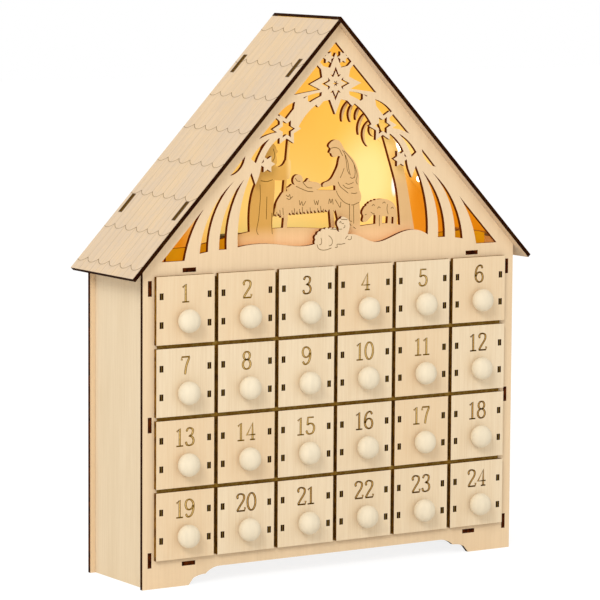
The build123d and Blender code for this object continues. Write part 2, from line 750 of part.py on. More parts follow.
with BuildPart() as figure_sheet:
    with BuildSketch(Plane.XZ.offset(-figure_y - ply / 2)):
        with BuildLine():
            Spline(*hill)
            Polyline(
                hill[-1],
                (figure_half_width, figure_floor),
                (-figure_half_width, figure_floor),
                hill[0],
            )
        make_face()
        tab_middle = figure_floor - ply / 2
        with Locations((figure_tab_reach, tab_middle), (-figure_tab_reach, tab_middle)):
            Rectangle(tab_length, ply + 2 * joint_gap)
        with BuildLine():
            ThreePointArc(*stem_outer)
            Line(stem_outer[2], stem_inner[0])
            ThreePointArc(*stem_inner)
            Line(stem_inner[2], stem_outer[0])
        make_face()
        for shares in palm_leaf_shares:
            add(leaf(*figure(shares, palm_place_shares, palm_size_shares)))
        for figure_shares in (trunk_shares, man_shares, man_head_shares, woman_shares, sheep_shares):
            add(outline([scene(shares) for shares in figure_shares]))
        bar(*scene(staff_shares), staff_width)
        Polygon(*manger, *straw)
        for shares in manger_leg_shares:
            bar(*scene(shares), manger_leg_width)
        with Locations(*scene([child_head_place_shares])):
            Circle(child_head_radius_share * fret_height)
        for place_shares, size_shares in (
            (child_place_shares, child_size_shares),
            (child_leg_place_shares, child_leg_size_shares),
        ):
            with Locations(*scene([place_shares])):
                Ellipse(size_shares[0] * figure_half_width / 2, size_shares[1] * fret_height / 2)
        bar(*scene(child_arm_shares), child_arm_width)
        with Locations(*scene(sheep_curl_place_shares)):
            Circle(sheep_curl_radius_share * fret_height)
    extrude(amount=ply)
figure_sheet.part.label = "figure_sheet"
export_step(figure_sheet.part, "parts/figure_sheet.step")

# One drawer at its own origin: the middle of its front's lower edge, on the front's back face
drawer_side_face = drawer_box_width / 2
drawer_middle = drawer_front_height / 2
drawer_tab_heights = [drawer_middle - drawer_tab_spread / 2, drawer_middle + drawer_tab_spread / 2]
drawer_inner_width = drawer_box_width - 2 * (ply + joint_gap)
knob_height = drawer_front_height - knob_drop
knob_radius = knob_diameter / 2

with BuildPart() as drawer_front:
    with BuildSketch(Plane.XZ):
        with Locations((0, drawer_middle)):
            Rectangle(drawer_front_width, drawer_front_height)
        slot_reach = drawer_side_face - ply / 2
        slot_places = [(side * slot_reach, height) for side in (-1, 1) for height in drawer_tab_heights]
        with Locations(*slot_places):
            Rectangle(slot_width, drawer_tab_height + 2 * joint_gap, mode=Mode.SUBTRACT)
    extrude(amount=ply)

with BuildPart() as drawer_sides:
    with BuildSketch(Plane.YZ.offset(-drawer_side_face), Plane.YZ.offset(drawer_side_face - ply)):
        with Locations((joint_gap + drawer_box_length / 2, running_gap + drawer_box_height / 2)):
            Rectangle(drawer_box_length, drawer_box_height)
        with Locations(*[(0, height) for height in drawer_tab_heights]):
            Rectangle(2 * ply, drawer_tab_height)
    extrude(amount=ply)

with BuildPart() as drawer_bottom:
    with BuildSketch(Plane.XY.offset(running_gap)):
        bottom_length = drawer_box_length - ply - joint_gap
        with Locations((0, joint_gap + bottom_length / 2)):
            Rectangle(drawer_inner_width, bottom_length)
    extrude(amount=ply)

with BuildPart() as drawer_back:
    with BuildSketch(Plane.XZ.offset(-joint_gap - drawer_box_length)):
        with Locations((0, running_gap + drawer_box_height / 2)):
            Rectangle(drawer_inner_width, drawer_box_height)
    extrude(amount=ply)

with BuildPart() as drawer_knob:
    with BuildSketch(Plane.XY.offset(knob_height)):
        foot_radius = knob_foot_diameter / 2
        foot = -ply - knob_foot_length
        widest = -ply - knob_widest
        tip = -ply - knob_projection
        with BuildLine():
            Polyline((0, tip), (0, -ply), (foot_radius, -ply), (foot_radius, foot))
            EllipticalCenterArc((foot_radius, widest), knob_radius - foot_radius, foot - widest, 0, arc_size=90)
            EllipticalCenterArc((0, widest), knob_radius, widest - tip, -90, arc_size=90)
        make_face()
    revolve(axis=Axis((0, 0, knob_height), (0, 1, 0)))

for index, (x, z) in enumerate(drawer_places):
    place = Location((x, front_y - seat_gap, z))
    drawer_pieces = [drawer_front, drawer_sides, drawer_bottom, drawer_back, drawer_knob]
    solids = [solid.moved(place) for piece in drawer_pieces for solid in piece.part.solids()]
    drawer = Compound(label=f"drawer_{index + 1:02d}", children=solids)
    export_step(drawer, f"parts/drawer_{index + 1:02d}.step")

# Lamps on a strip under each slope
lamp_face = -ply - joint_gap
lamp_y = middle_y + lamp_setback
lamp_strip_run = lamp_run_share * slope_length
lamp_offsets = [(step - (lamp_count - 1) / 2) * lamp_spacing for step in range(lamp_count)]
lamp_strip_length = (lamp_count - 1) * lamp_spacing + 2 * lamp_strip_margin

with BuildPart() as lamp_strips:
    with BuildSketch(Plane.XZ.offset(-lamp_y - lamp_strip_width / 2)):
        for side in (-1, 1):
            slope_strip(
                lamp_strip_run - lamp_strip_length / 2,
                lamp_strip_run + lamp_strip_length / 2,
                lamp_face - lamp_strip_thickness,
                lamp_face,
                side,
            )
    extrude(amount=lamp_strip_width)
lamp_strips.part.label = "lamp_strips"
export_step(lamp_strips.part, "parts/lamp_strips.step")

lamp_seats = []
for side in (-1, 1):
    inward = (-side * slope_sin, 0, -slope_cos)
    for offset in lamp_offsets:
        x, z = slope_point(lamp_strip_run + offset, lamp_face - lamp_strip_thickness, side)
        lamp_seats.append(Plane(origin=(x, lamp_y, z), x_dir=(0, 1, 0), z_dir=inward))

with BuildPart() as lamps:
    with BuildSketch(*lamp_seats):
        Circle(lamp_diameter / 2)
    extrude(amount=lamp_length - lamp_diameter / 2)
    domes = [seat.offset(lamp_length - lamp_diameter / 2).origin for seat in lamp_seats]
    with Locations(*domes):
        Sphere(lamp_diameter / 2)
lamps.part.label = "lamps"
export_step(lamps.part, "parts/lamps.step")

# Battery box on the attic floor, open to the back panel
battery_back = back_y - ply - joint_gap

with BuildPart() as battery_box:
    with BuildSketch(Plane.XZ.offset(-battery_back)):
        with Locations((battery_left + battery_length / 2, battery_middle)):
            Rectangle(battery_length, battery_height)
    extrude(amount=battery_depth)
    with BuildSketch(Plane.XZ.offset(-battery_back)):
        with Locations((bay_middle, battery_middle)):
            Rectangle(bay_length, bay_height)
        with Locations((switch_middle, battery_middle)):
            Rectangle(switch_bay, bay_height)
    extrude(amount=bay_height, mode=Mode.SUBTRACT)
battery_box.part.label = "battery_box"
export_step(battery_box.part, "parts/battery_box.step")

cell_y = battery_back - bay_height / 2
cell_planes = [
    Plane.YZ.offset(bay_middle + (step - cell_count / 2) * cell_length) for step in range(cell_count)
]
nub_length = cell_length * cell_nub_length_share

with BuildPart() as battery_cells:
    with BuildSketch(*cell_planes):
        with Locations((cell_y, battery_middle)):
            Circle(cell_diameter / 2)
    extrude(amount=cell_length - nub_length - joint_gap)
    with BuildSketch(*cell_planes):
        with Locations((cell_y, battery_middle)):
            Circle(cell_diameter * cell_nub_width_share / 2)
    extrude(amount=cell_length - joint_gap)
battery_cells.part.label = "battery_cells"
export_step(battery_cells.part, "parts/battery_cells.step")

contact_planes = [
    Plane.YZ.offset(bay_middle - bay_length / 2 + joint_gap),
    Plane.YZ.offset(bay_middle + bay_length / 2 - contact_thickness - joint_gap),
]

with BuildPart() as battery_contacts:
    with BuildSketch(*contact_planes):
        with Locations((cell_y, battery_middle)):
            Rectangle(contact_size, contact_size)
    extrude(amount=contact_thickness)
    with BuildSketch(contact_planes[0].offset(contact_thickness), contact_planes[1].offset(-contact_reach)):
        with Locations((cell_y, battery_middle)):
            Circle(contact_dimple_diameter / 2)
    extrude(amount=contact_reach)
battery_contacts.part.label = "battery_contacts"
export_step(battery_contacts.part, "parts/battery_contacts.step")

with BuildPart() as battery_cover:
    with BuildSketch(Plane.XZ.offset(-back_y)):
        with Locations((bay_middle, battery_middle)):
            Rectangle(cover_length, cover_height)
    extrude(amount=ply)
    with BuildSketch(Plane.XZ.offset(-back_y)):
        with Locations((bay_middle, battery_middle)):
            with GridLocations(cover_grip_pitch, cover_grip_pitch, cover_grip_count, 1):
                Rectangle(cover_grip_width, bay_height)
    extrude(amount=cover_grip_depth, mode=Mode.SUBTRACT)
battery_cover.part.label = "battery_cover"
export_step(battery_cover.part, "parts/battery_cover.step")

slider_x = switch_middle - switch_travel / 2
guide_back = battery_back - seat_gap

with BuildPart() as switch_slider:
    with BuildSketch(Plane.XZ.offset(-guide_back)):
        with Locations((slider_x, battery_middle)):
            Rectangle(
                switch_slider_width + 2 * switch_guide_margin,
                switch_slider_height + 2 * switch_guide_margin,
            )
    extrude(amount=switch_guide_thickness)
    with BuildSketch(Plane.XZ.offset(-guide_back)):
        with Locations((slider_x, battery_middle)):
            Rectangle(switch_slider_width, switch_slider_height)
    extrude(amount=guide_back - back_y - switch_projection)
switch_slider.part.label = "switch_slider"
export_step(switch_slider.part, "parts/switch_slider.step")
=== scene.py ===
"""Looks of a wooden advent calendar: pale laser-cut ply, engraved shingles and numbers, and a gable lit by
its lamps and by their light painted on its ply.
"""

import math

import bmesh
import bpy
from bpy.props import FloatProperty, FloatVectorProperty, PointerProperty
from mathutils import Matrix, Vector


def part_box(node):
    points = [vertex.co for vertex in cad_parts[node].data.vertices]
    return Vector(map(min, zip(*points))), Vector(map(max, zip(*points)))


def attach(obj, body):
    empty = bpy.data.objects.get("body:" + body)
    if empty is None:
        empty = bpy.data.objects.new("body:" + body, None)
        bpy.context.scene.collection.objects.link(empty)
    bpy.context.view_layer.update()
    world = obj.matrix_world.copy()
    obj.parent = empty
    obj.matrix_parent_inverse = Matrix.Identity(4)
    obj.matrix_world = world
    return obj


bl_info = {
    "name": "Wooden Advent Calendar",
    "version": (1, 0, 0),
    "blender": (4, 5, 0),
    "location": "View3D > Sidebar > Calendar",
    "description": "Dresses a ply house calendar with numbered drawers and a lit nativity gable",
    "category": "Object",
}

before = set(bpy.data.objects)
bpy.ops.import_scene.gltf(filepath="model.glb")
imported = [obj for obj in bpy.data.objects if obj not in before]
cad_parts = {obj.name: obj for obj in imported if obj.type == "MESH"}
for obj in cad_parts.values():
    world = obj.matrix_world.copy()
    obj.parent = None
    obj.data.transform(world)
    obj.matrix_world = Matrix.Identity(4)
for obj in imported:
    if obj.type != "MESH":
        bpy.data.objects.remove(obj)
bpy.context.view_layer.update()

# Places and sizes of the house, in metres
FRONT_LOW, FRONT_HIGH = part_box("front_panel")
ROOF_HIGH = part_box("right_roof")[1]
ATTIC_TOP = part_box("attic_floor")[1].z
FIGURE_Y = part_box("figure_sheet")[0].y
FRONT_Y = FRONT_LOW.y
PLY = FRONT_HIGH.y - FRONT_LOW.y
FRONT_INNER_Y = FRONT_Y + PLY
BACK_INNER_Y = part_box("back_panel")[0].y
SIDE_INNER_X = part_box("right_side")[0].x
RIDGE_Z = ROOF_HIGH.z
ROOF_ANGLE = math.radians(46.27)
ROOF_TAB_SHARES = (0.2022, 0.7492)
ROOF_TAB_RUNS = [share * ROOF_HIGH.x / math.cos(ROOF_ANGLE) for share in ROOF_TAB_SHARES]
ROOF_TAB_REACH = 0.0083
HAIR = 0.0001

# The drawers, and the ends of their side walls' tabs as they lie from the middle of a front
DRAWERS = [f"drawer_{number:02d}" for number in range(1, 25)]
FIRST_LOW, FIRST_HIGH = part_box("drawer_01")
PITCH_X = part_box("drawer_02")[0].x - FIRST_LOW.x
PITCH_Z = FIRST_LOW.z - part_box("drawer_07")[0].z
DRAWER_HEIGHT = FIRST_HIGH.z - FIRST_LOW.z
DRAWER_PROUD = 0.0032
DRAWER_FACE_Y = FRONT_Y - DRAWER_PROUD
TAB_X, TAB_Z = 0.01995, 0.0103
TAB_HALF_WIDTH, TAB_HALF_HEIGHT, TAB_CORE = 0.00155, 0.00235, 0.0005
RIM_DROP, TAIL_X = 0.0085, 0.0184
# Right of this, the drawer fronts' side edges take painted shade; the first column's outer edge stays lit
FIRST_EDGE_X = FIRST_LOW.x + 0.001

# Grain of ply: scales across, through and along the fibres, and the share of each kind of mark
STREAK_SCALES, BAND_SCALES, CLOUD_SCALES = (900.0, 400.0, 26.0), (75.0, 30.0, 4.0), (24.0, 24.0, 9.0)
STREAK_SHARE, BAND_SHARE, CLOUD_SHARE = 0.5, 0.3, 0.2

# Finish of bare ply; a face looks along an axis where its normal's share is above FACING
FACING = 0.7
BUMP_STRENGTH = 0.6
SHEEN = 0.02
SMOOTHEST, FIBRE_ROUGHNESS, GRAIN_DEPTH = 0.55, 0.3, 0.00012
FIBRE_STEP, BURN_STEP = (0.36, 0.66), (0.34, 0.68)
BURN_SCALES, DRAWER_BURN_SCALES = (260.0, 260.0, 260.0), (420.0, 420.0, 200.0)
# The side walls darken along the front panel by the next line: scorch at the joint, and painted shade along
# it
JOINT_STEP, JOINT_SCORCH_AND_SHADE = (FRONT_INNER_Y + 0.0008, FRONT_INNER_Y + 0.0022), 0.85
# The last share on the next line darkens the drawer fronts' side edges between the columns as painted
# shade, since each front shades its neighbour's edge
ROOF_TAB_TONE, TAB_CORE_TONE, PAINTED_SHADE_BETWEEN = 0.34, 0.28, 0.35
KNOB_SCALES, KNOB_STEP, KNOB_TONE, KNOB_SMOOTHER = (260.0, 260.0, 30.0), (0.30, 0.75), 0.93, 0.08

# Engraving of the shingles: how deeply each kind of line is burnt, the tone from tile to tile, and the
# painted shadow below each row's line
ENGRAVING, LINE_DEPTH = 0.8, 1.5
BOW_CORE, BOW_LEAST, BOW_WOBBLE, BOW_CUSP, WOBBLE_SCALE = 0.4, 0.70, 0.5, 0.6, 90.0
SIDE_CORE, SIDE_BURN, MID_BURN = 0.3, 0.30, 0.16
DEEPER_RUN, DEEPER_LEAST, DEEPER_GAIN = (0.06, 0.18), 0.85, 0.45
TILE_SCALES, TILE_STEP, TILE_TONE = (130.0, 170.0, 0.0), (0.3, 0.7), 0.07
SHADOW_REACH, PAINTED_SHADOW_SHARE = 0.004, 0.10
HALO_ACROSS, HALO_ALONG = (0.0020, 0.0031), (ROOF_TAB_REACH, ROOF_TAB_REACH + 0.0012)
HALO_BURN = 0.95

# Finish of the engraved lines, the plastics, the metals and the lamps' lenses
SPOT_SCALE, SPOT_STEP, SPOT_TONE, LINE_ROUGHNESS = 700.0, (0.3, 0.7), 1.5, 0.85
PIT_SCALE, PIT_ROUGHNESS, PIT_DEPTH = 2400.0, 0.15, 0.00004
WEAR_SCALE, WEAR_STEP, WEAR_TONE, WEAR_LIFT = 120.0, (0.3, 0.8), 1.25, 0.01
ROLLING_SCALES, ROLLING_TONE, ROLLING_ROUGHNESS = (60.0, 1500.0, 1500.0), 0.82, 0.2
LENS_SCALE, LENS_STEP, LENS_ROUGHNESS, LENS_STRENGTH = 300.0, (0.2, 0.8), 0.2, 4.0

# The lamps' light, painted on the attic's inner faces as glow and as a tint; a pair is where a soft step
# starts and ends
LAMP_X, LAMP_Z = 0.080, ATTIC_TOP + 0.050
LAMP_SPREAD_X, LAMP_SPREAD_Z, LAMP_STEP = 0.030, 0.036, (0.15, 0.95)
LAMP_TINT = 0.9
POOL_Z, POOL_SPREAD_Z, POOL_NARROWNESS, POOL_SHARE = ATTIC_TOP + 0.028, 0.034, 300.0, 0.55
# Painted shade in that glow towards the top left
DIM_X, DIM_Z, DIM_SHARE, DIM_TONE = (-0.020, 0.050), (0.300, 0.345), 0.55, 1.3
# Painted shade in the corners, where the glow turns ember; on the right it eases higher up
LEFT_CORNER_X, RIGHT_CORNER_X = (0.058, 0.088), (0.104, 0.126)
LIFT_Z, LIFT_SHARE = (0.262, 0.300), 0.35
# A painted white highlight of a lamp on the inner faces at the back: its place and half sizes
HIGHLIGHT_X, HIGHLIGHT_Z, HIGHLIGHT_HALF_WIDTH, HIGHLIGHT_HALF_HEIGHT = 0.1045, 0.275, 0.0032, 0.010

# The lamps' light painted on the figure sheet as glow and as a tint, in the same way
HILL_Z, HILL_SHARE, HILL_GLOW = (ATTIC_TOP + 0.014, ATTIC_TOP + 0.028), 0.55, 4.9
ROBE_X, SHOULDER_X, SHOULDER_Z = (-0.050, -0.045), (-0.040, -0.034), (0.279, 0.284)
# Shares of the painted honey tint, and how much the robes shade the painted glow behind the stars
HONEY_SHARE, HONEY_ROBE, ROBE_SHADE = 0.50, 0.35, 0.7
SHEET_CORNER_X = (0.078, 0.086)
STARS_X, STARS_Z, STARS_TONE = (0.028, 0.036), (0.278, 0.306), 0.62
CROWN_X, CROWN_Z = (0.036, 0.040), (0.314, 0.322)

# The studio: where its lights hang, how wide they are and where they look, and how the floor shows white
KEY_PLACE, KEY_SIZE = (-2.775, -2.325, 2.525), 1.5
FILL_PLACE, FILL_SIZE = (2.1, -3.3, 1.1), 2.4
AIM = Vector((0.0, 0.0, 0.2))
FLOOR_GLOW, FLOOR_SHARE = 1.13, 0.75

# Each flat sheet: the axis through it, the axis of its grain, its faces, its cut edges and its lit side,
# where the lamps' light is painted on as glow: a side facing the attic, the figures, the rims, or none
GLOWING_FIGURES, GLOWING_RIMS, UNLIT = "blushing", "rimmed", None
BLACK, WHITE = (0.0, 0.0, 0.0, 1.0), (1.0, 1.0, 1.0, 1.0)
PLAIN, SIDE_WALL = ("pale", "warm"), ("bleached", "ashen")
CHARRED, SOOTY = ("char", "ruddy"), ("char", "soot")
PANELS = {
    "front_panel": ("y", "z", PLAIN, SOOTY, GLOWING_RIMS),
    "back_panel": ("y", "z", PLAIN, CHARRED, -1),
    "figure_sheet": ("y", "z", PLAIN, CHARRED, GLOWING_FIGURES),
    "left_side": ("x", "z", SIDE_WALL, CHARRED, UNLIT),
    "right_side": ("x", "z", SIDE_WALL, CHARRED, UNLIT),
    "base_board": ("z", "x", PLAIN, CHARRED, UNLIT),
    "attic_floor": ("z", "x", PLAIN, CHARRED, 1),
    "drawer_shelves": ("z", "x", PLAIN, ("toast", "olive"), UNLIT),
    "drawer_uprights": ("x", "z", PLAIN, ("scorch", "toast"), UNLIT),
}


def colour_prop(name, description, value):
    """A colour that a user can change."""
    return FloatVectorProperty(
        name=name, description=description, subtype="COLOR", size=3, min=0, max=1, default=value
    )


def length_prop(name, description, value):
    """A length in metres that a user can change."""
    return FloatProperty(name=name, description=description, unit="LENGTH", default=value, precision=4)


def angle_prop(name, description, degrees):
    """An angle that a user can change."""
    return FloatProperty(name=name, description=description, subtype="ANGLE", default=math.radians(degrees))


def share_prop(name, description, value):
    """A share or strength that a user can change."""
    return FloatProperty(name=name, description=description, default=value)


def power_prop(name, description, value):
    """A light's power in watts that a user can change."""
    return FloatProperty(name=name, description=description, unit="POWER", default=value)


class PlySettings(bpy.types.PropertyGroup):
    """Colours of the ply's faces, scorched edges and engraved lines."""

    pale: colour_prop("Pale", "Light fibres of the ply's face", (0.748, 0.566, 0.362))
    warm: colour_prop("Warm", "Darker fibres of the ply's face", (0.705, 0.525, 0.330))
    bleached: colour_prop("Bleached", "Light fibres of the side walls", (0.710, 0.576, 0.398))
    ashen: colour_prop("Ashen", "Darker fibres of the side walls", (0.655, 0.518, 0.342))
    weathered: colour_prop("Weathered", "Fibres of the roof", (0.630, 0.497, 0.364))
    tawny: colour_prop("Tawny", "Light fibres of the yellower drawers", (0.740, 0.577, 0.377))
    blond: colour_prop("Blond", "Light fibres of the other drawers", (0.757, 0.620, 0.434))
    fair: colour_prop("Fair", "Darker fibres of the other drawers", (0.698, 0.547, 0.361))
    scorch: colour_prop("Scorch", "Laser-cut edge, darkest", (0.085, 0.030, 0.003))
    char: colour_prop("Char", "Laser-cut edge, charred", (0.014, 0.0015, 0.0))
    soot: colour_prop("Soot", "Charred edge where it is brown", (0.030, 0.009, 0.0005))
    ruddy: colour_prop("Ruddy", "Charred edge where it is red", (0.085, 0.016, 0.001))
    toast: colour_prop("Toast", "Laser-cut edge, lightest", (0.26, 0.125, 0.014))
    olive: colour_prop("Olive", "Edge of the shelves between the drawers", (0.36, 0.22, 0.045))
    tinted: colour_prop("Tinted", "Inside of a lightly burnt figure's strokes", (0.58, 0.385, 0.140))
    singed: colour_prop("Singed", "Inside of a deeply burnt figure's strokes", (0.50, 0.290, 0.080))
    burnt: colour_prop("Burnt", "Lines burnt deeply", (0.060, 0.026, 0.002))
    browned: colour_prop("Browned", "Lines burnt lightly", (0.150, 0.080, 0.010))
    engraved: colour_prop("Engraved", "Lines burnt into the face", (0.085, 0.040, 0.002))
    knob: colour_prop("Knob", "Bare turned wood of the knobs", (0.742, 0.645, 0.480))


class NumberSettings(bpy.types.PropertyGroup):
    """Sizes of the engraved numbers."""

    height: length_prop("Height", "Height of a figure", 0.0138)
    width_share: share_prop("Width share", "Width of a figure against its drawing", 1.0)
    spacing: length_prop("Spacing", "Room for a figure", 0.0093)
    slender: length_prop("Slender", "Room for the figure 1", 0.0074)
    drop: length_prop("Drop", "From the drawer front's top to the figures' middle", 0.0127)
    line: length_prop("Line", "Width of an engraved line", 0.00062)
    stroke: length_prop("Stroke", "Between the two lines of a stroke", 0.0012)
    slim: share_prop("Slim", "Share of the stroke left where it runs level", 0.35)
    thin: length_prop("Thin", "Width of a line on the figures", 0.00045)
    proud: length_prop("Proud", "How far a line lies off its face", 0.00004)


class ShingleSettings(bpy.types.PropertyGroup):
    """Sizes of the engraved shingles."""

    first: length_prop("First", "From the ridge to the first row's lowest line", 0.0180)
    row: length_prop("Row", "From one row to the next", 0.0324)
    tile: length_prop("Tile", "Width of a shingle", 0.0155)
    edge: length_prop("Edge", "From the back edge to the first cusp", 0.0120)
    bow: length_prop("Bow", "Height of a scallop", 0.0040)
    line: length_prop("Line", "Width of an engraved line", 0.00042)


class GlowSettings(bpy.types.PropertyGroup):
    """Colours of the lamps' light painted in the attic, as glow and as tint."""

    # Amber, gold, ember, blush and rim are painted glow; honey and ember also tint the ply, ember standing
    # for shade; flame and core are the lamps' own lenses
    amber: colour_prop("Amber", "Ply far from the lamps", (0.55, 0.375, 0.050))
    gold: colour_prop("Gold", "Ply near the lamps", (0.70, 0.68, 0.30))
    ember: colour_prop("Ember", "Ply in the far corners", (0.37, 0.145, 0.002))
    honey: colour_prop("Honey", "Ply as the lamps' light tints it", (0.55, 0.27, 0.030))
    blush: colour_prop("Blush", "Light that reaches the figures", (0.045, 0.014, 0.001))
    rim: colour_prop("Rim", "Cut edges that the light shines past", (0.085, 0.011, 0.0))
    flame: colour_prop("Flame", "Lamp lenses", (1.0, 0.86, 0.55))
    core: colour_prop("Core", "Brightest spots of the lenses", (1.0, 0.95, 0.8))


class FittingSettings(bpy.types.PropertyGroup):
    """Colours of the lamp strips and the battery box."""

    board: colour_prop("Board", "Lamp strips", (0.70, 0.66, 0.58))
    case: colour_prop("Case", "Battery box and its cover", (0.020, 0.020, 0.021))
    slider: colour_prop("Slider", "Switch", (0.030, 0.030, 0.032))
    jacket: colour_prop("Jacket", "Cells", (0.18, 0.19, 0.21))
    contact: colour_prop("Contact", "Plates that the cells touch", (0.75, 0.74, 0.71))


class StageSettings(bpy.types.PropertyGroup):
    """Camera, floor and lights."""

    eye: FloatVectorProperty(
        name="Eye",
        description="Camera's place",
        subtype="XYZ",
        unit="LENGTH",
        default=(-1.3787, -2.11775, 0.4926),
    )
    yaw: angle_prop("Yaw", "Turn to the right", 32.918)
    pitch: angle_prop("Pitch", "Tilt downward", 6.683)
    roll: angle_prop("Roll", "Turn about the view", 0.380)
    lens: FloatProperty(name="Lens", description="Focal length", unit="CAMERA", default=205.485)
    floor: length_prop("Floor", "Side of the floor", 12.0)
    paper: colour_prop("Paper", "Colour of the floor", (0.9, 0.9, 0.9))
    sky: colour_prop("Sky", "Colour of the light from all round", (1.0, 0.985, 0.96))
    sky_strength: share_prop("Sky strength", "Strength of the light from all round", 0.82)
    key_power: power_prop("Key power", "Power of the light on the left", 92.0)
    fill_power: power_prop("Fill power", "Power of the light on the right", 8.0)


class Value:
    """A shader socket that can be used in Python expressions."""

    def __init__(self, shade, socket):
        self.shade = shade
        self.socket = socket

    def math(self, operation, *others):
        """The value after a Math node, with more values where it takes them."""
        inputs = dict(enumerate((self, *others)))
        return self.shade.make("ShaderNodeMath", {"operation": operation}, inputs)

    def __add__(self, other):
        return self.math("ADD", other)

    __radd__ = __add__

    def __mul__(self, other):
        return self.math("MULTIPLY", other)

    __rmul__ = __mul__

    def __sub__(self, other):
        return self.math("SUBTRACT", other)

    def __rsub__(self, other):
        return self.shade.make("ShaderNodeMath", {"operation": "SUBTRACT"}, {0: other, 1: self})

    def __truediv__(self, other):
        return self.math("DIVIDE", other)

    def __rtruediv__(self, other):
        return self.shade.make("ShaderNodeMath", {"operation": "DIVIDE"}, {0: other, 1: self})

    def __abs__(self):
        return self.math("ABSOLUTE")

    def __gt__(self, other):
        return self.math("GREATER_THAN", other)

    def __lt__(self, other):
        return self.math("LESS_THAN", other)

    def wrap(self, period):
        """The value folded into half a period either side of zero."""
        return self.math("WRAP", period / 2, -period / 2)

    def least(self, other):
        """The smaller of two values."""
        return self.math("MINIMUM", other)

    def most(self, other):
        """The larger of two values."""
        return self.math("MAXIMUM", other)

    def soft(self, low, high):
        """A smooth step from zero at low to one at high."""
        return self.shade.make(
            "ShaderNodeMapRange",
            {"interpolation_type": "SMOOTHSTEP", "clamp": True},
            {"Value": self, "From Min": low, "From Max": high},
        )


class Shade:
    """The node tree of a material, or of a world."""

    def __init__(self, name, world=None):
        self.material = world or bpy.data.materials.new(name)
        self.material.use_nodes = True
        self.tree = self.material.node_tree
        self.tree.nodes.clear()
        self.output = self.tree.nodes.new(f"ShaderNodeOutput{'World' if world else 'Material'}")

    def node(self, kind, settings=None, inputs=None):
        """A node with its settings, then the values or links of its sockets."""
        made = self.tree.nodes.new(kind)
        for key, value in (settings or {}).items():
            setattr(made, key, value)
        for key, value in (inputs or {}).items():
            named = [socket for socket in made.inputs if key in (socket.identifier, socket.name)]
            socket = made.inputs[key] if isinstance(key, int) else named[0]
            if isinstance(value, Value):
                self.tree.links.new(value.socket, socket)
            else:
                socket.default_value = value
        return made

    def make(self, kind, settings=None, inputs=None, output=0):
        """The same, as the value of one of the node's outputs."""
        return Value(self, self.node(kind, settings, inputs).outputs[output])

    def split(self, vector):
        """The three values of a vector."""
        made = self.node("ShaderNodeSeparateXYZ", inputs={"Vector": vector})
        return [Value(self, socket) for socket in made.outputs]

    def place(self):
        """Rest place and normal of the surface, in the part's frame."""
        made = self.node("ShaderNodeTexCoord")
        return (
            self.split(Value(self, made.outputs["Object"])),
            self.split(Value(self, made.outputs["Normal"])),
        )

    def noise(self, place, scales, detail=2.0, roughness=0.5):
        """Noise at a place, with a scale for each of its axes."""
        axes = {index: axis * scale for index, (axis, scale) in enumerate(zip(place, scales))}
        vector = self.make("ShaderNodeCombineXYZ", inputs=axes)
        return self.make(
            "ShaderNodeTexNoise",
            inputs={"Vector": vector, "Scale": 1.0, "Detail": detail, "Roughness": roughness},
        )

    def speckle(self, place, scale, detail=2.0, roughness=0.5):
        """Noise of one scale along all axes."""
        return self.noise(place, (scale, scale, scale), detail, roughness)

    def mix(self, factor, first, second):
        """A colour between two colours."""
        return self.make(
            "ShaderNodeMix",
            {"data_type": "RGBA"},
            {"Factor_Float": factor, "A_Color": first, "B_Color": second},
            output=2,
        )

    def bump(self, height, depth):
        """A normal bent by a height."""
        inputs = {"Height": height, "Strength": BUMP_STRENGTH, "Distance": depth}
        return self.make("ShaderNodeBump", inputs=inputs)

    def finish(self, inputs):
        """Ends the tree with one surface shader."""
        shader = self.node("ShaderNodeBsdfPrincipled", inputs=inputs)
        self.tree.links.new(shader.outputs[0], self.output.inputs["Surface"])
        return self.material

    def backdrop(self, lit, white, share):
        """Ends the tree with one shader that lights, and a share of another where it is seen."""
        rays = self.node("ShaderNodeLightPath")
        camera, glossy, clear = [
            Value(self, rays.outputs[f"Is {kind} Ray"]) for kind in ("Camera", "Glossy", "Transmission")
        ]
        blend = self.node("ShaderNodeMixShader", inputs={0: camera.most(glossy).most(clear) * share})
        self.tree.links.new(lit.outputs[0], blend.inputs[1])
        self.tree.links.new(white.outputs[0], blend.inputs[2])
        self.tree.links.new(blend.outputs[0], self.output.inputs["Surface"])
        return self.material


def rgba(colour):
    """A settings colour as a socket colour."""
    return (*colour, 1.0)


def toned(colour, share):
    """A settings colour made darker or lighter, as a socket colour."""
    return rgba([min(1.0, tone * share) for tone in colour])


def tones(ply, names):
    """Two of the ply's colours as socket colours."""
    return [rgba(getattr(ply, name)) for name in names]


def grain(shade, across, along, through):
    """Fibres of a ply face: fine streaks and broad bands along the grain, from zero to one."""
    place = across, through, along
    streak = shade.noise(place, STREAK_SCALES, detail=3.0, roughness=0.6)
    band = shade.noise(place, BAND_SCALES)
    cloud = shade.noise(place, CLOUD_SCALES)
    return streak * STREAK_SHARE + band * BAND_SHARE + cloud * CLOUD_SHARE


def wood(shade, place, fibres, edge, faces, cuts, burn_scales=BURN_SCALES):
    """Colour of ply: two colours of fibre on its faces, two of burning on its edges."""
    face = shade.mix(fibres.soft(*FIBRE_STEP), *faces)
    burn = shade.noise(place, burn_scales, detail=3.0, roughness=0.65).soft(*BURN_STEP)
    return shade.mix(edge, face, shade.mix(burn, *cuts))


def ply_finish(shade, fibres, relief, smoother=0.0):
    """Roughness, sheen and relief of bare ply."""
    return {
        "Roughness": SMOOTHEST + FIBRE_ROUGHNESS * fibres - smoother,
        "Specular IOR Level": SHEEN,
        "Normal": shade.bump(relief, GRAIN_DEPTH),
    }


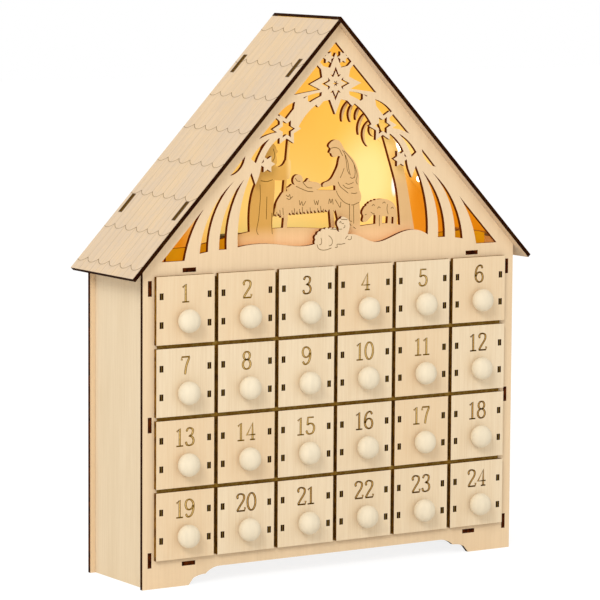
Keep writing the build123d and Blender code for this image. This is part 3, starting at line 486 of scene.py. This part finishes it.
def attic_glow(shade, place, inside, glow):
    """Glow painted on the attic's inner faces for the lamps' light: gold beside the lamps, amber between,
    ember as painted shade in the corners, a painted highlight at the back.
    """
    x, y, z = place
    across = (abs(x) - LAMP_X) / LAMP_SPREAD_X
    up = (z - LAMP_Z) / LAMP_SPREAD_Z
    low = (z - POOL_Z) / POOL_SPREAD_Z
    near = 1.0 / (1.0 + across * across + up * up)
    pool = POOL_SHARE / (1.0 + x * x * POOL_NARROWNESS + low * low)
    warmth = shade.mix(near.soft(*LAMP_STEP).most(pool), rgba(glow.amber), rgba(glow.gold))
    # Painted shade towards the top left
    dim = z.soft(*DIM_Z) * (1 - x.soft(*DIM_X)) * DIM_SHARE
    warmth = shade.mix(dim, warmth, toned(glow.ember, DIM_TONE))
    # Painted shade in the corners
    right_corner = x.soft(*RIGHT_CORNER_X) * (1 - z.soft(*LIFT_Z) * LIFT_SHARE)
    left_corner = (0.0 - x).soft(*LEFT_CORNER_X)
    warmth = shade.mix(right_corner.most(left_corner), warmth, rgba(glow.ember))
    # A painted white highlight of a lamp, on the inner faces at the back
    beside = (abs(x) - HIGHLIGHT_X) / HIGHLIGHT_HALF_WIDTH
    above = (z - HIGHLIGHT_Z) / HIGHLIGHT_HALF_HEIGHT
    streak = (1 - (beside * beside + above * above).soft(0.0, 1.0)) * (y > 0.0)
    return shade.mix(inside, BLACK, shade.mix(streak, warmth, WHITE))


def figure_light(shade, place, edge, colour, glow):
    """Painted light on the figure sheet: a honey tint, most on the robes and least on the bright hill,
    ember in the corners, and glow, brightest on the hill, amber behind the stars and on the crown, red on
    the cut edges.
    """
    x, _, z = place
    reach = abs(x)
    hill = 1 - z.soft(*HILL_Z)
    robe = (1 - x.soft(*ROBE_X)).most((1 - x.soft(*SHOULDER_X)) * z.soft(*SHOULDER_Z))
    corner = reach.soft(*SHEET_CORNER_X)
    stars = reach.soft(*STARS_X) * z.soft(*STARS_Z)
    crown = x.soft(*CROWN_X) * z.soft(*CROWN_Z)
    # The lamps' light painted into the colour: honey over the faces, less on the hill, ember in the corners
    tinted = shade.mix((1 - edge) * (HONEY_SHARE + HONEY_ROBE * robe), colour, rgba(glow.honey))
    colour = shade.mix(hill * (HILL_SHARE - corner * HILL_SHARE), tinted, colour)
    colour = shade.mix(corner * (1 - edge), colour, rgba(glow.ember))
    # Painted glow: brightest on the hill, amber behind the stars and on the crown, less on the robes, ember
    # in the corners, red on the edges
    light = shade.mix(hill, rgba(glow.blush), toned(glow.blush, HILL_GLOW))
    light = shade.mix(stars * (1 - robe * ROBE_SHADE), light, toned(glow.amber, STARS_TONE))
    light = shade.mix(crown, light, rgba(glow.amber))
    light = shade.mix(corner, light, rgba(glow.ember))
    return colour, shade.mix(edge, light, rgba(glow.rim))


def roof_tabs(place, edge):
    """The cut edges of a panel's tabs, where they come through the roof."""
    x, _, z = place
    depth = (RIDGE_Z - z) * math.cos(ROOF_ANGLE) - abs(x) * math.sin(ROOF_ANGLE)
    return edge * (depth < PLY)


def flat_ply(name, thick, along, faces, cuts, lit):
    """Ply whose broad faces look along one axis, with the grain along another."""
    settings = bpy.context.scene
    ply, glow = settings.calendar_ply, settings.calendar_glow
    shade = Shade(f"{name}_ply")
    place, normal = shade.place()
    at = dict(zip("xyz", place))
    across = at[next(axis for axis in "xyz" if axis not in (thick, along))]
    facing = dict(zip("xyz", normal))[thick]
    edge = abs(facing) < FACING
    fibres = grain(shade, across, at[along], at[thick])
    colour = wood(shade, place, fibres, edge, tones(ply, faces), tones(ply, cuts))
    if thick == "x":
        # The side walls darkened along the front panel: scorch at the joint and painted shade along it
        joint = 1 - at["y"].soft(*JOINT_STEP)
        colour = shade.mix(joint * (1 - edge) * JOINT_SCORCH_AND_SHADE, colour, rgba(ply.scorch))
    if thick == "y":
        colour = shade.mix(roof_tabs(place, edge), colour, toned(ply.toast, ROOF_TAB_TONE))
    inputs = ply_finish(shade, fibres, fibres * (1 - edge))
    # The lamps' light painted on: glow and tint on the figure sheet, glow on the front panel's cut edges in
    # the gable, glow and tint on the attic's inner faces
    if lit == GLOWING_FIGURES:
        colour, inputs["Emission Color"] = figure_light(shade, place, edge, colour, glow)
    elif lit == GLOWING_RIMS:
        rim = (edge - roof_tabs(place, edge)) * (at["z"] > ATTIC_TOP)
        inputs["Emission Color"] = shade.mix(rim, BLACK, rgba(glow.rim))
    elif lit is not UNLIT:
        # Inner faces tinted and glowing with painted lamp light
        inside = (facing * lit > FACING) * (at["z"] > ATTIC_TOP - 2 * HAIR)
        tint = glow.ember if thick == "z" else glow.honey
        colour = shade.mix(inside * LAMP_TINT, colour, rgba(tint))
        inputs["Emission Color"] = attic_glow(shade, place, inside, glow)
    if lit is not UNLIT:
        inputs["Emission Strength"] = 1.0
    return shade.finish({"Base Color": colour, **inputs})


def line_mask(away, width, core):
    """One on the core of a line, falling to zero at its width."""
    return 1 - away.soft(width * core, width)


def shingles(shade, place, run, tiles):
    """The shingles' burnt lines on a roof slope, the faint shadows painted below their lines, and their
    tones.
    """
    y = place[1]
    tile_y = (ROOF_HIGH.y - tiles.edge - y - tiles.tile / 2).wrap(tiles.tile)
    share = tile_y * (2 / tiles.tile)
    row_run = run + share * share * tiles.bow - tiles.first
    below = row_run.wrap(tiles.row)
    wobble = BOW_LEAST + BOW_WOBBLE * shade.speckle(place, WOBBLE_SCALE)
    swell = BOW_LEAST + BOW_CUSP * share * share
    bow_line = line_mask(abs(below), tiles.line, BOW_CORE) * wobble * swell
    side_line = line_mask(tiles.tile / 2 - abs(tile_y), tiles.line, SIDE_CORE) * SIDE_BURN
    mid_line = line_mask(abs(tile_y), tiles.line, SIDE_CORE) * MID_BURN
    deeper = DEEPER_LEAST + DEEPER_GAIN * run.soft(*DEEPER_RUN)
    tile = row_run - below, y - tile_y, 0.0
    uneven = shade.noise(tile, TILE_SCALES, detail=1.0).soft(*TILE_STEP) * TILE_TONE
    # A painted shadow below each row's line
    shadow = (1 - below.soft(0.0, SHADOW_REACH)) * (below > 0.0) * PAINTED_SHADOW_SHARE
    return bow_line.most(side_line.most(mid_line) * deeper), shadow.most(uneven)


def roof_ply(name, side):
    """Ply of one roof slope: engraved shingles with painted shadows on top, the lamps' light painted on the
    grain below, scorched edges.
    """
    settings = bpy.context.scene
    ply, tiles, glow = settings.calendar_ply, settings.calendar_shingles, settings.calendar_glow
    shade = Shade(name)
    place, normal = shade.place()
    x, y, z = place
    cos, sin = math.cos(ROOF_ANGLE), math.sin(ROOF_ANGLE)
    run = x * (side * cos) + (RIDGE_Z - z) * sin
    facing = normal[0] * (side * sin) + normal[2] * cos
    edge = abs(facing) < FACING
    top = facing > FACING
    fibres = grain(shade, y, run, x)
    colour = wood(shade, place, fibres, edge, tones(ply, ("weathered", "warm")), tones(ply, SOOTY))
    lines, faint = shingles(shade, place, run, tiles)
    # Burnt lines, painted shadows and tile tones, all in the engraved colour
    colour = shade.mix(lines.most(faint) * top * ENGRAVING, colour, rgba(ply.engraved))
    beside = abs(y - FRONT_Y - PLY / 2).least(abs(y - BACK_INNER_Y - PLY / 2))
    along = abs(run - ROOF_TAB_RUNS[0]).least(abs(run - ROOF_TAB_RUNS[1]))
    halo = (1 - beside.soft(*HALO_ACROSS)) * (1 - along.soft(*HALO_ALONG)) * top
    colour = shade.mix(halo * HALO_BURN, colour, rgba(ply.soot))
    # Underneath, inside the attic: the lamps' light painted on as a honey tint and as glow
    inside = (facing < -FACING) * (y > FRONT_INNER_Y) * (y < BACK_INNER_Y) * (abs(x) < SIDE_INNER_X)
    colour = shade.mix(inside * LAMP_TINT, colour, rgba(glow.honey))
    return shade.finish(
        {
            "Base Color": colour,
            **ply_finish(shade, fibres, fibres * (1 - edge) - lines * top * LINE_DEPTH),
            "Emission Color": attic_glow(shade, place, inside, glow),
            "Emission Strength": 1.0,
        }
    )


def drawer_ply(name, faces):
    """Ply of the drawers, with scorched edges and tab ends, and their bare turned knobs."""
    ply = bpy.context.scene.calendar_ply
    shade = Shade(name)
    place, normal = shade.place()
    x, y, z = place
    knob = y < DRAWER_FACE_Y - HAIR
    front = y < FRONT_Y - HAIR
    local_x = (x - (FIRST_LOW.x + FIRST_HIGH.x) / 2).wrap(PITCH_X)
    local_z = (z - (FIRST_LOW.z + FIRST_HIGH.z) / 2).wrap(PITCH_Z)
    from_tab_x = abs(abs(local_x) - TAB_X)
    from_tab_z = abs(abs(local_z) - TAB_Z)
    tab = (from_tab_x < TAB_HALF_WIDTH) * (from_tab_z < TAB_HALF_HEIGHT) * front
    front_edge = (abs(normal[1]) < FACING) * front
    rim = (normal[2] > FACING) * (local_z > DRAWER_HEIGHT / 2 - RIM_DROP) * (1 - front)
    tail = (normal[1] > FACING) * (abs(local_x) > TAIL_X) * (1 - front)
    edge = front_edge.most(tab).most(rim).most(tail) * (1 - knob)
    fibres = grain(shade, x, z, y)
    # Side edges between the columns are darkened as painted shade from the neighbouring front
    between = (abs(normal[0]) > FACING) * (x > FIRST_EDGE_X) * PAINTED_SHADE_BETWEEN
    cuts = [
        shade.mix(between, rgba(ply.scorch), rgba(ply.char)),
        shade.mix(between, rgba(ply.toast), rgba(ply.ruddy)),
    ]
    colour = wood(shade, place, fibres, edge, tones(ply, faces), cuts, DRAWER_BURN_SCALES)
    tab_end = shade.mix(from_tab_x < TAB_CORE, rgba(ply.char), toned(ply.olive, TAB_CORE_TONE))
    colour = shade.mix(tab, colour, tab_end)
    turned = shade.noise(place, KNOB_SCALES, detail=3.0).soft(*KNOB_STEP)
    bare = shade.mix(turned, rgba(ply.knob), toned(ply.knob, KNOB_TONE))
    finish = ply_finish(shade, fibres, fibres * (1 - edge), knob * KNOB_SMOOTHER)
    return shade.finish({"Base Color": shade.mix(knob, colour, bare), **finish})


def line_burn(name, brown):
    """Brown of the engraved lines, uneven as a laser leaves it."""
    shade = Shade(name)
    place, _ = shade.place()
    spots = shade.speckle(place, SPOT_SCALE, detail=3.0, roughness=0.6).soft(*SPOT_STEP)
    colour = shade.mix(spots, rgba(brown), toned(brown, SPOT_TONE))
    return shade.finish({"Base Color": colour, "Roughness": LINE_ROUGHNESS, "Specular IOR Level": SHEEN})


def moulded(name, colour, roughness):
    """Matte moulded plastic with a fine spark-eroded grain."""
    shade = Shade(name)
    place, _ = shade.place()
    pits = shade.speckle(place, PIT_SCALE)
    wear = shade.speckle(place, WEAR_SCALE).soft(*WEAR_STEP)
    worn = rgba([tone * WEAR_TONE + WEAR_LIFT for tone in colour])
    return shade.finish(
        {
            "Base Color": shade.mix(wear, rgba(colour), worn),
            "Roughness": roughness + PIT_ROUGHNESS * pits,
            "Normal": shade.bump(pits, PIT_DEPTH),
        }
    )


def plated(name, colour, roughness):
    """Plated metal with faint rolling marks."""
    shade = Shade(name)
    place, _ = shade.place()
    marks = shade.noise(place, ROLLING_SCALES)
    rolled = shade.mix(marks, rgba(colour), toned(colour, ROLLING_TONE))
    rough = roughness + ROLLING_ROUGHNESS * marks
    return shade.finish({"Base Color": rolled, "Roughness": rough, "Metallic": 1.0})


def lens_glow(flame, core):
    """Warm lit lens of a lamp, with a whiter core."""
    shade = Shade("lamp_lens")
    place, _ = shade.place()
    spots = shade.speckle(place, LENS_SCALE, detail=1.0).soft(*LENS_STEP)
    bright = shade.mix(spots, rgba(flame), rgba(core))
    return shade.finish(
        {
            "Base Color": bright,
            "Roughness": LENS_ROUGHNESS,
            "Emission Color": bright,
            "Emission Strength": LENS_STRENGTH,
        }
    )


def paint(node, material):
    """Gives a CAD node one material."""
    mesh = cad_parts[node].data
    mesh.materials.clear()
    mesh.materials.append(material)


# Figures in a box of DIGIT_WIDTH by DIGIT_HEIGHT: strokes through sharp corners and points of smooth lines
SHARP = True
DIGIT_WIDTH, DIGIT_HEIGHT = 9.2, 14.0


def corners(*points):
    """Points where a stroke turns sharply."""
    return [(x, y, SHARP) for x, y in points]


def curve(*points):
    """Points that a stroke runs through smoothly."""
    return [(x, y, not SHARP) for x, y in points]


def oval(x, y, across, up):
    """Points round an oval, back to the first."""
    turns = [math.tau * (step % 12) / 12 for step in range(13)]
    return [(x + across * math.cos(turn), y + up * math.sin(turn), not SHARP) for turn in turns]


SIX = curve(
    *[(7.6, 11.4), (6.6, 13.0), (5.0, 13.4), (2.6, 11.6), (1.3, 7.2), (1.8, 2.8), (4.6, 0.6)],
    *[(7.2, 1.6), (8.0, 4.4), (7.0, 7.2), (4.7, 8.2), (2.4, 7.0), (1.6, 5.2)],
)
DIGITS = {
    "0": [oval(4.6, 7.0, 3.4, 6.4)],
    "1": [corners((2.0, 11.2), (4.6, 13.4), (4.6, 0.6)), corners((1.7, 0.6), (7.5, 0.6))],
    "2": [
        curve((2.2, 10.2), (1.7, 11.6), (2.9, 13.1), (4.8, 13.4), (7.1, 12.4), (7.6, 10.2))
        + curve((6.6, 7.8), (4.0, 4.4))
        + corners((1.5, 0.7), (8.0, 0.7), (8.4, 3.0))
    ],
    "3": [
        curve((1.9, 11.2), (2.9, 12.9), (4.6, 13.4), (6.8, 12.5), (7.2, 10.5), (6.2, 8.4))
        + corners((4.2, 7.5))
        + curve((6.6, 6.6), (7.8, 4.2), (7.0, 1.6), (4.5, 0.6), (2.2, 1.2), (1.4, 3.2))
    ],
    "4": [corners((6.2, 0.6), (6.2, 13.0), (1.2, 4.2), (8.6, 4.2)), corners((4.0, 0.6), (8.4, 0.6))],
    "5": [
        corners((7.6, 13.1), (2.5, 13.1), (2.1, 7.6))
        + curve((4.6, 8.6), (7.2, 7.4), (8.0, 4.6), (6.9, 1.7), (4.3, 0.6), (2.1, 1.4), (1.3, 3.2))
    ],
    "6": [SIX],
    "7": [corners((1.4, 10.8), (1.6, 13.1), (8.0, 13.1)) + curve((5.3, 6.6), (4.2, 0.6))],
    "8": [oval(4.6, 10.5, 2.7, 2.9), oval(4.6, 4.1, 3.3, 3.5)],
    "9": [[(DIGIT_WIDTH - x, DIGIT_HEIGHT - y, sharp) for x, y, sharp in SIX]],
}

# Drawers of yellower ply, drawers whose numbers are burnt deeply, and the slot of a stroke's inside
YELLOW = {1, 2, 4, 6, 11, 13, 14, 17, 19}
DEEP = {3, 6, 12, 16, 18, 20, 21, 22, 23, 24}
TINT = 1


def smoothed(points, steps=5):
    """A line through points, curved at all but the sharp ones; it runs on smoothly where it closes."""
    count = len(points)
    closed = points[0] == points[-1]
    line = []
    for index in range(count - 1):
        here, there = points[index], points[index + 1]
        before = points[index - 1] if index else points[-2] if closed else here
        after = points[index + 2] if index + 2 < count else points[1] if closed else there
        first, last = Vector(here[:2]), Vector(there[:2])
        away = (last - first) / 2 if here[2] else (last - Vector(before[:2])) / 2
        toward = (last - first) / 2 if there[2] else (Vector(after[:2]) - first) / 2
        straight = here[2] and there[2]
        for step in range(1 if straight else steps):
            t = step / steps
            line.append(
                first * (2 * t**3 - 3 * t**2 + 1)
                + away * (t**3 - 2 * t**2 + t)
                + last * (3 * t**2 - 2 * t**3)
                + toward * (t**3 - t**2)
            )
    return line + [Vector(points[-1][:2])]


def rails(line, closed, half, slim=1.0):
    """The two lines at half a width either side of a line, slimmer where it runs level."""
    count = len(line)
    sides = ([], [])
    for index in range(count):
        before = line[index - 1] if closed or index else line[0]
        after = line[(index + 1) % count] if closed or index + 1 < count else line[-1]
        ahead = (after - before).normalized()
        out = Vector((-ahead.y, ahead.x)) * half * (slim + (1 - slim) * abs(ahead.y))
        sides[0].append(line[index] + out)
        sides[1].append(line[index] - out)
    return sides


def add_band(mesh, outer, inner, closed, level, slot=0):
    """Faces between two lines on an upright face at a level."""
    edges = [[mesh.verts.new((point.x, level, point.y)) for point in side] for side in (outer, inner)]
    count = len(outer)
    for index in range(count if closed else count - 1):
        after = (index + 1) % count
        face = mesh.faces.new((edges[0][index], edges[1][index], edges[1][after], edges[0][after]))
        face.material_index = slot


def add_ribbon(mesh, line, width, closed, level):
    """A flat strip of one width along a line on an upright face."""
    add_band(mesh, *rails(line, closed, width / 2), closed, level)


def finish_lines(name, mesh, body, *materials):
    """Turns strips into one piece that moves with a body."""
    data = bpy.data.meshes.new(name)
    mesh.normal_update()
    for face in mesh.faces:
        if face.normal.y > 0:
            face.normal_flip()
    mesh.to_mesh(data)
    mesh.free()
    piece = bpy.data.objects.new(name, data)
    bpy.context.scene.collection.objects.link(piece)
    for material in materials:
        data.materials.append(material)
    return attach(piece, body)


# Lines engraved on the figure sheet and on the lamb, in millimetres across and up
PER_METRE = 1000
FIGURE_LINES = [
    [(0.5, 311.3), (4.0, 311.7), (7.5, 310.4), (9.2, 307.8), (10.6, 305.4)],
    [(10.4, 309.6), (13.4, 305.0), (15.4, 300.0), (16.0, 296.0), (17.6, 290.8)],
    [(11.8, 309.0), (16.0, 304.9), (19.8, 300.4), (22.4, 295.0), (23.6, 290.2), (22.6, 286.4)]
    + [(24.0, 283.8)],
    [(12.6, 306.2), (14.0, 300.4), (14.8, 295.0), (16.6, 291.6)],
    [(20.8, 298.4), (21.8, 293.0), (21.2, 288.6)],
    [(8.6, 289.2), (10.2, 292.0), (12.0, 296.2)],
    [(6.8, 286.4), (8.8, 282.8), (12.0, 280.4), (15.8, 277.6)],
    [(11.0, 284.0), (13.8, 281.8), (16.6, 281.2), (20.2, 282.0)],
    [(13.5, 285.2), (16.2, 284.2), (20.4, 285.4)],
    [(17.4, 289.4), (19.4, 288.4), (21.0, 289.4)],
    [(18.4, 277.6), (21.4, 277.2), (23.8, 277.6)],
    [(5.4, 279.8), (6.6, 277.0), (9.6, 273.4), (12.6, 271.0), (15.5, 269.6), (17.6, 269.4)],
    [(18.6, 268.8), (21.0, 268.9), (23.4, 269.8), (25.6, 270.4)],
    [(17.0, 269.2), (17.1, 263.0), (17.0, 257.4)],
    [(20.6, 268.6), (20.8, 262.0), (20.9, 255.0)],
    [(17.2, 257.2), (19.2, 256.6)],
    [(17.4, 255.2), (18.6, 253.4)],
    [(20.6, 252.6), (22.6, 251.0)],
    [(-38.4, 278.6), (-36.6, 277.2), (-35.4, 278.8), (-34.6, 276.2), (-32.6, 277.2)],
    [(-38.0, 276.2), (-36.0, 275.2), (-34.2, 275.8)],
    [(-27.0, 274.2), (-26.3, 270.6), (-24.9, 273.2), (-23.8, 270.2), (-21.4, 273.2)],
    [(-14.2, 274.0), (-13.0, 270.4), (-11.9, 273.0), (-11.0, 270.2), (-10.2, 273.6)],
    [(-1.4, 270.4), (-0.6, 274.2), (0.6, 271.0), (1.8, 274.0), (2.6, 269.8)],
    [(4.4, 273.4), (6.4, 270.6), (8.8, 267.4), (9.4, 271.6)],
    [(-47.0, 272.6), (-48.2, 268.0), (-49.4, 263.6)],
    [(-24.0, 287.4), (-22.2, 285.2), (-19.6, 283.2), (-15.8, 282.8)],
    [(-30.0, 284.6), (-25.0, 282.4), (-20.0, 280.6), (-15.0, 280.0)],
    [(-30.6, 290.6), (-28.8, 288.4), (-26.2, 288.0)],
    [(-61.0, 287.0), (-60.6, 278.0), (-61.2, 270.0), (-62.0, 262.0), (-63.6, 254.0), (-62.2, 250.6)],
    [(-55.0, 278.0), (-55.2, 270.0), (-55.4, 261.5)],
    [(-50.6, 266.0), (-50.8, 258.0), (-50.2, 250.6)],
    [(-60.4, 289.8), (-55.0, 289.0), (-50.0, 290.2)],
    [(-49.8, 312.6), (-48.4, 307.4), (-50.2, 303.4)],
    [(50.9, 268.0), (50.5, 264.2), (51.6, 260.6)],
    [(36.0, 262.8), (37.6, 261.8), (39.4, 261.2)],
    [(43.9, 260.2), (43.7, 256.0), (43.9, 252.0)],
    [(37.0, 267.2), (38.2, 268.4), (39.4, 267.4)],
    [(42.0, 265.2), (43.2, 266.4), (44.6, 265.4)],
    [(46.4, 268.8), (47.8, 269.8), (49.0, 268.8)],
    [(54.0, 264.6), (55.2, 265.6), (56.4, 264.6)],
    [(30.8, 260.8), (31.6, 261.3), (32.2, 260.9)],
]
STRAW_TICKS = [-46.4, -43.8, -41.2, -33.4, -31.2, -29.0, -26.8, -24.4, -20.4, -17.6, -14.2]
STRAW_TICKS += [-11.0, -8.4, -5.8]
STRAW_TOP, STRAW_FOOT, STRAW_STEP, STRAW_LEAN = 266.4, 263.9, 0.7, 0.4
LAMB_LINES = [
    [(-11.8, 246.4), (-11.2, 244.0), (-11.8, 241.8), (-13.2, 241.4)],
    [(-15.2, 241.6), (-14.2, 239.2), (-11.6, 237.6), (-7.0, 237.4), (-2.6, 238.6)],
    [(-5.2, 247.8), (-3.0, 246.2), (-1.8, 243.6), (-2.4, 241.0), (-4.6, 240.2)],
    [(0.6, 238.8), (2.6, 239.0), (2.4, 241.0), (6.0, 240.9), (9.4, 241.4)],
    [(-3.6, 252.6), (0.0, 252.2), (6.6, 252.0)],
    [(5.8, 259.2), (8.8, 259.0), (11.2, 258.8)],
    [(4.4, 256.8), (5.2, 257.8), (5.8, 256.4)],
    [(6.4, 256.2), (8.2, 256.0)],
    [(7.8, 252.8), (9.0, 253.4), (9.0, 254.8)],
    [(9.6, 244.6), (10.8, 246.2), (12.0, 246.8)],
    [(11.8, 244.4), (13.6, 243.8), (14.8, 244.6), (15.0, 246.4)],
]


class CALENDAR_OT_panels(bpy.types.Operator):
    """Give the house's panels pale ply with scorched edges"""

    bl_idname = "calendar.panels"
    bl_label = "Ply panels"

    def execute(self, context):
        for node, look in PANELS.items():
            paint(node, flat_ply(node, *look))
        return {"FINISHED"}


class CALENDAR_OT_roof(bpy.types.Operator):
    """Give the roof its engraved shingles"""

    bl_idname = "calendar.roof"
    bl_label = "Shingled roof"

    def execute(self, context):
        paint("left_roof", roof_ply("left_roof_ply", -1))
        paint("right_roof", roof_ply("right_roof_ply", 1))
        return {"FINISHED"}


class CALENDAR_OT_drawers(bpy.types.Operator):
    """Give the drawers their ply and the knobs their bare wood"""

    bl_idname = "calendar.drawers"
    bl_label = "Drawers"

    def execute(self, context):
        pale = drawer_ply("drawer_ply", ("blond", "fair"))
        yellow = drawer_ply("yellow_drawer_ply", ("tawny", "warm"))
        for number, node in enumerate(DRAWERS, 1):
            paint(node, yellow if number in YELLOW else pale)
        return {"FINISHED"}


class CALENDAR_OT_numbers(bpy.types.Operator):
    """Engrave a number on each drawer"""

    bl_idname = "calendar.numbers"
    bl_label = "Numbers"

    def execute(self, context):
        sizes, ply = context.scene.calendar_numbers, context.scene.calendar_ply
        light = line_burn("number_line", ply.browned), line_burn("number_tint", ply.tinted)
        deep = line_burn("deep_number_line", ply.burnt), line_burn("deep_number_tint", ply.singed)
        for number, node in enumerate(DRAWERS, 1):
            low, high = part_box(node)
            text = str(number)
            rooms = [sizes.slender if digit == "1" else sizes.spacing for digit in text]
            left = (low.x + high.x - sum(rooms)) / 2
            foot = high.z - sizes.drop - sizes.height / 2
            strips = bmesh.new()
            for place, digit in enumerate(text):
                middle = left + sum(rooms[:place]) + rooms[place] / 2
                self.add_digit(strips, digit, middle, foot, sizes)
            finish_lines(f"number_{number:02d}", strips, node, *(deep if number in DEEP else light))
        return {"FINISHED"}

    def add_digit(self, strips, digit, middle, foot, sizes):
        """Adds the outlines and the inside of one figure's strokes."""
        tall = sizes.height / DIGIT_HEIGHT
        wide = tall * sizes.width_share
        corner = Vector((middle - DIGIT_WIDTH * wide / 2, foot))
        for stroke in DIGITS[digit]:
            line = [corner + Vector((point.x * wide, point.y * tall)) for point in smoothed(stroke)]
            closed = stroke[0] == stroke[-1]
            ring = line[:-1] if closed else line
            outer, inner = rails(ring, closed, sizes.stroke / 2, sizes.slim)
            for outline in (outer, inner) if closed else (outer + inner[::-1],):
                add_ribbon(strips, outline, sizes.line, True, DRAWER_FACE_Y - sizes.proud)
            add_band(strips, outer, inner, closed, DRAWER_FACE_Y - sizes.proud / 2, TINT)


class CALENDAR_OT_figures(bpy.types.Operator):
    """Engrave the figures' robes, straw and fleece"""

    bl_idname = "calendar.figures"
    bl_label = "Figure lines"

    def execute(self, context):
        sizes = context.scene.calendar_numbers
        material = line_burn("figure_line", context.scene.calendar_ply.engraved)
        ticks = [
            [(x, STRAW_TOP + index * 7 % 5 * STRAW_STEP), (x + STRAW_LEAN, STRAW_FOOT)]
            for index, x in enumerate(STRAW_TICKS)
        ]
        for name, face_y, lines in (
            ("figure_lines", FIGURE_Y, FIGURE_LINES + ticks),
            ("lamb_lines", FRONT_Y, LAMB_LINES),
        ):
            strips = bmesh.new()
            for line in lines:
                straight = len(line) == 2
                points = [(x / PER_METRE, z / PER_METRE, straight) for x, z in line]
                add_ribbon(strips, smoothed(points), sizes.thin, False, face_y - sizes.proud)
            finish_lines(name, strips, "house", material)
        return {"FINISHED"}


class CALENDAR_OT_lamps(bpy.types.Operator):
    """Light the attic and finish the battery box"""

    bl_idname = "calendar.lamps"
    bl_label = "Lamps and battery box"

    def execute(self, context):
        fittings = context.scene.calendar_fittings
        glow = context.scene.calendar_glow
        paint("lamps", lens_glow(glow.flame, glow.core))
        paint("lamp_strips", moulded("lamp_board", fittings.board, roughness=0.5))
        for node in ("battery_box", "battery_cover"):
            paint(node, moulded(f"{node}_plastic", fittings.case, roughness=0.45))
        paint("switch_slider", moulded("switch_plastic", fittings.slider, roughness=0.4))
        paint("battery_cells", plated("cell_jacket", fittings.jacket, roughness=0.3))
        paint("battery_contacts", plated("contact_plate", fittings.contact, roughness=0.2))
        return {"FINISHED"}


class CALENDAR_OT_stage(bpy.types.Operator):
    """Set up the floor, lights and camera"""

    bl_idname = "calendar.stage"
    bl_label = "Stage"

    def execute(self, context):
        stage = context.scene.calendar_stage
        context.scene.view_settings.view_transform = "Standard"
        self.add_floor(context.scene, stage)
        self.add_world(context.scene, stage)
        self.add_light(context.scene, "key", KEY_PLACE, KEY_SIZE, stage.key_power)
        self.add_light(context.scene, "fill", FILL_PLACE, FILL_SIZE, stage.fill_power)
        self.add_camera(context.scene, stage)
        return {"FINISHED"}

    def add_floor(self, scene, stage):
        """Lays a pale floor that keeps the shadow."""
        half = stage.floor / 2
        rim = [(-half, -half, 0), (half, -half, 0), (half, half, 0), (-half, half, 0)]
        data = bpy.data.meshes.new("floor")
        data.from_pydata(rim, [], [(0, 1, 2, 3)])
        floor = bpy.data.objects.new("floor", data)
        scene.collection.objects.link(floor)
        shade = Shade("pale_floor")
        paper = shade.node("ShaderNodeBsdfDiffuse", inputs={"Color": rgba(stage.paper)})
        white = shade.node("ShaderNodeEmission", inputs={"Color": WHITE, "Strength": FLOOR_GLOW})
        data.materials.append(shade.backdrop(paper, white, FLOOR_SHARE))

    def add_world(self, scene, stage):
        """Lights from all round, and shows white behind."""
        scene.world = bpy.data.worlds.new("studio")
        shade = Shade("studio", scene.world)
        sky = {"Color": rgba(stage.sky), "Strength": stage.sky_strength}
        soft = shade.node("ShaderNodeBackground", inputs=sky)
        white = shade.node("ShaderNodeBackground", inputs={"Color": WHITE, "Strength": 1.0})
        shade.backdrop(soft, white, share=1.0)

    def add_light(self, scene, name, place, size, power):
        """Hangs one soft light that looks at the house."""
        light = bpy.data.lights.new(name, "AREA")
        light.size = size
        light.energy = power
        lamp = bpy.data.objects.new(name, light)
        lamp.location = place
        lamp.rotation_euler = (AIM - Vector(place)).to_track_quat("-Z", "Y").to_euler()
        scene.collection.objects.link(lamp)

    def add_camera(self, scene, stage):
        """Places the camera at the photograph's viewing angle."""
        turn = Matrix.Rotation(-stage.yaw, 3, "Z") @ Matrix.Rotation(math.pi / 2 - stage.pitch, 3, "X")
        turn = turn @ Matrix.Rotation(stage.roll, 3, "Z")
        data = bpy.data.cameras.new("photo_camera")
        data.sensor_fit = "HORIZONTAL"
        data.sensor_width = 36.0
        data.lens = stage.lens
        data.clip_end = 50.0
        camera = bpy.data.objects.new("photo_camera", data)
        camera.matrix_world = Matrix.Translation(stage.eye) @ turn.to_4x4()
        scene.collection.objects.link(camera)
        scene.camera = camera


class CALENDAR_PT_sidebar(bpy.types.Panel):
    """Lists the calendar's settings and steps"""

    bl_idname = "CALENDAR_PT_sidebar"
    bl_label = "Advent calendar"
    bl_space_type = "VIEW_3D"
    bl_region_type = "UI"
    bl_category = "Calendar"

    def draw(self, context):
        for name in SETTINGS:
            settings = getattr(context.scene, name)
            box = self.layout.box()
            for prop in settings.__annotations__:
                box.prop(settings, prop)
        for operator in OPERATORS:
            self.layout.operator(operator.bl_idname)


SETTINGS = {
    "calendar_ply": PlySettings,
    "calendar_numbers": NumberSettings,
    "calendar_shingles": ShingleSettings,
    "calendar_glow": GlowSettings,
    "calendar_fittings": FittingSettings,
    "calendar_stage": StageSettings,
}
OPERATORS = [
    CALENDAR_OT_panels,
    CALENDAR_OT_roof,
    CALENDAR_OT_drawers,
    CALENDAR_OT_numbers,
    CALENDAR_OT_figures,
    CALENDAR_OT_lamps,
    CALENDAR_OT_stage,
]


def register():
    """Adds the classes and the scene's settings."""
    for group in (*SETTINGS.values(), *OPERATORS, CALENDAR_PT_sidebar):
        bpy.utils.register_class(group)
    for name, group in SETTINGS.items():
        setattr(bpy.types.Scene, name, PointerProperty(type=group))


def unregister():
    """Takes them away again."""
    for name in SETTINGS:
        delattr(bpy.types.Scene, name)
    for group in reversed((*SETTINGS.values(), *OPERATORS, CALENDAR_PT_sidebar)):
        bpy.utils.unregister_class(group)


def main():
    """Dresses the part."""
    register()
    for operator in OPERATORS:
        family, step = operator.bl_idname.split(".")
        getattr(getattr(bpy.ops, family), step)()


if __name__ == "__main__":
    main()
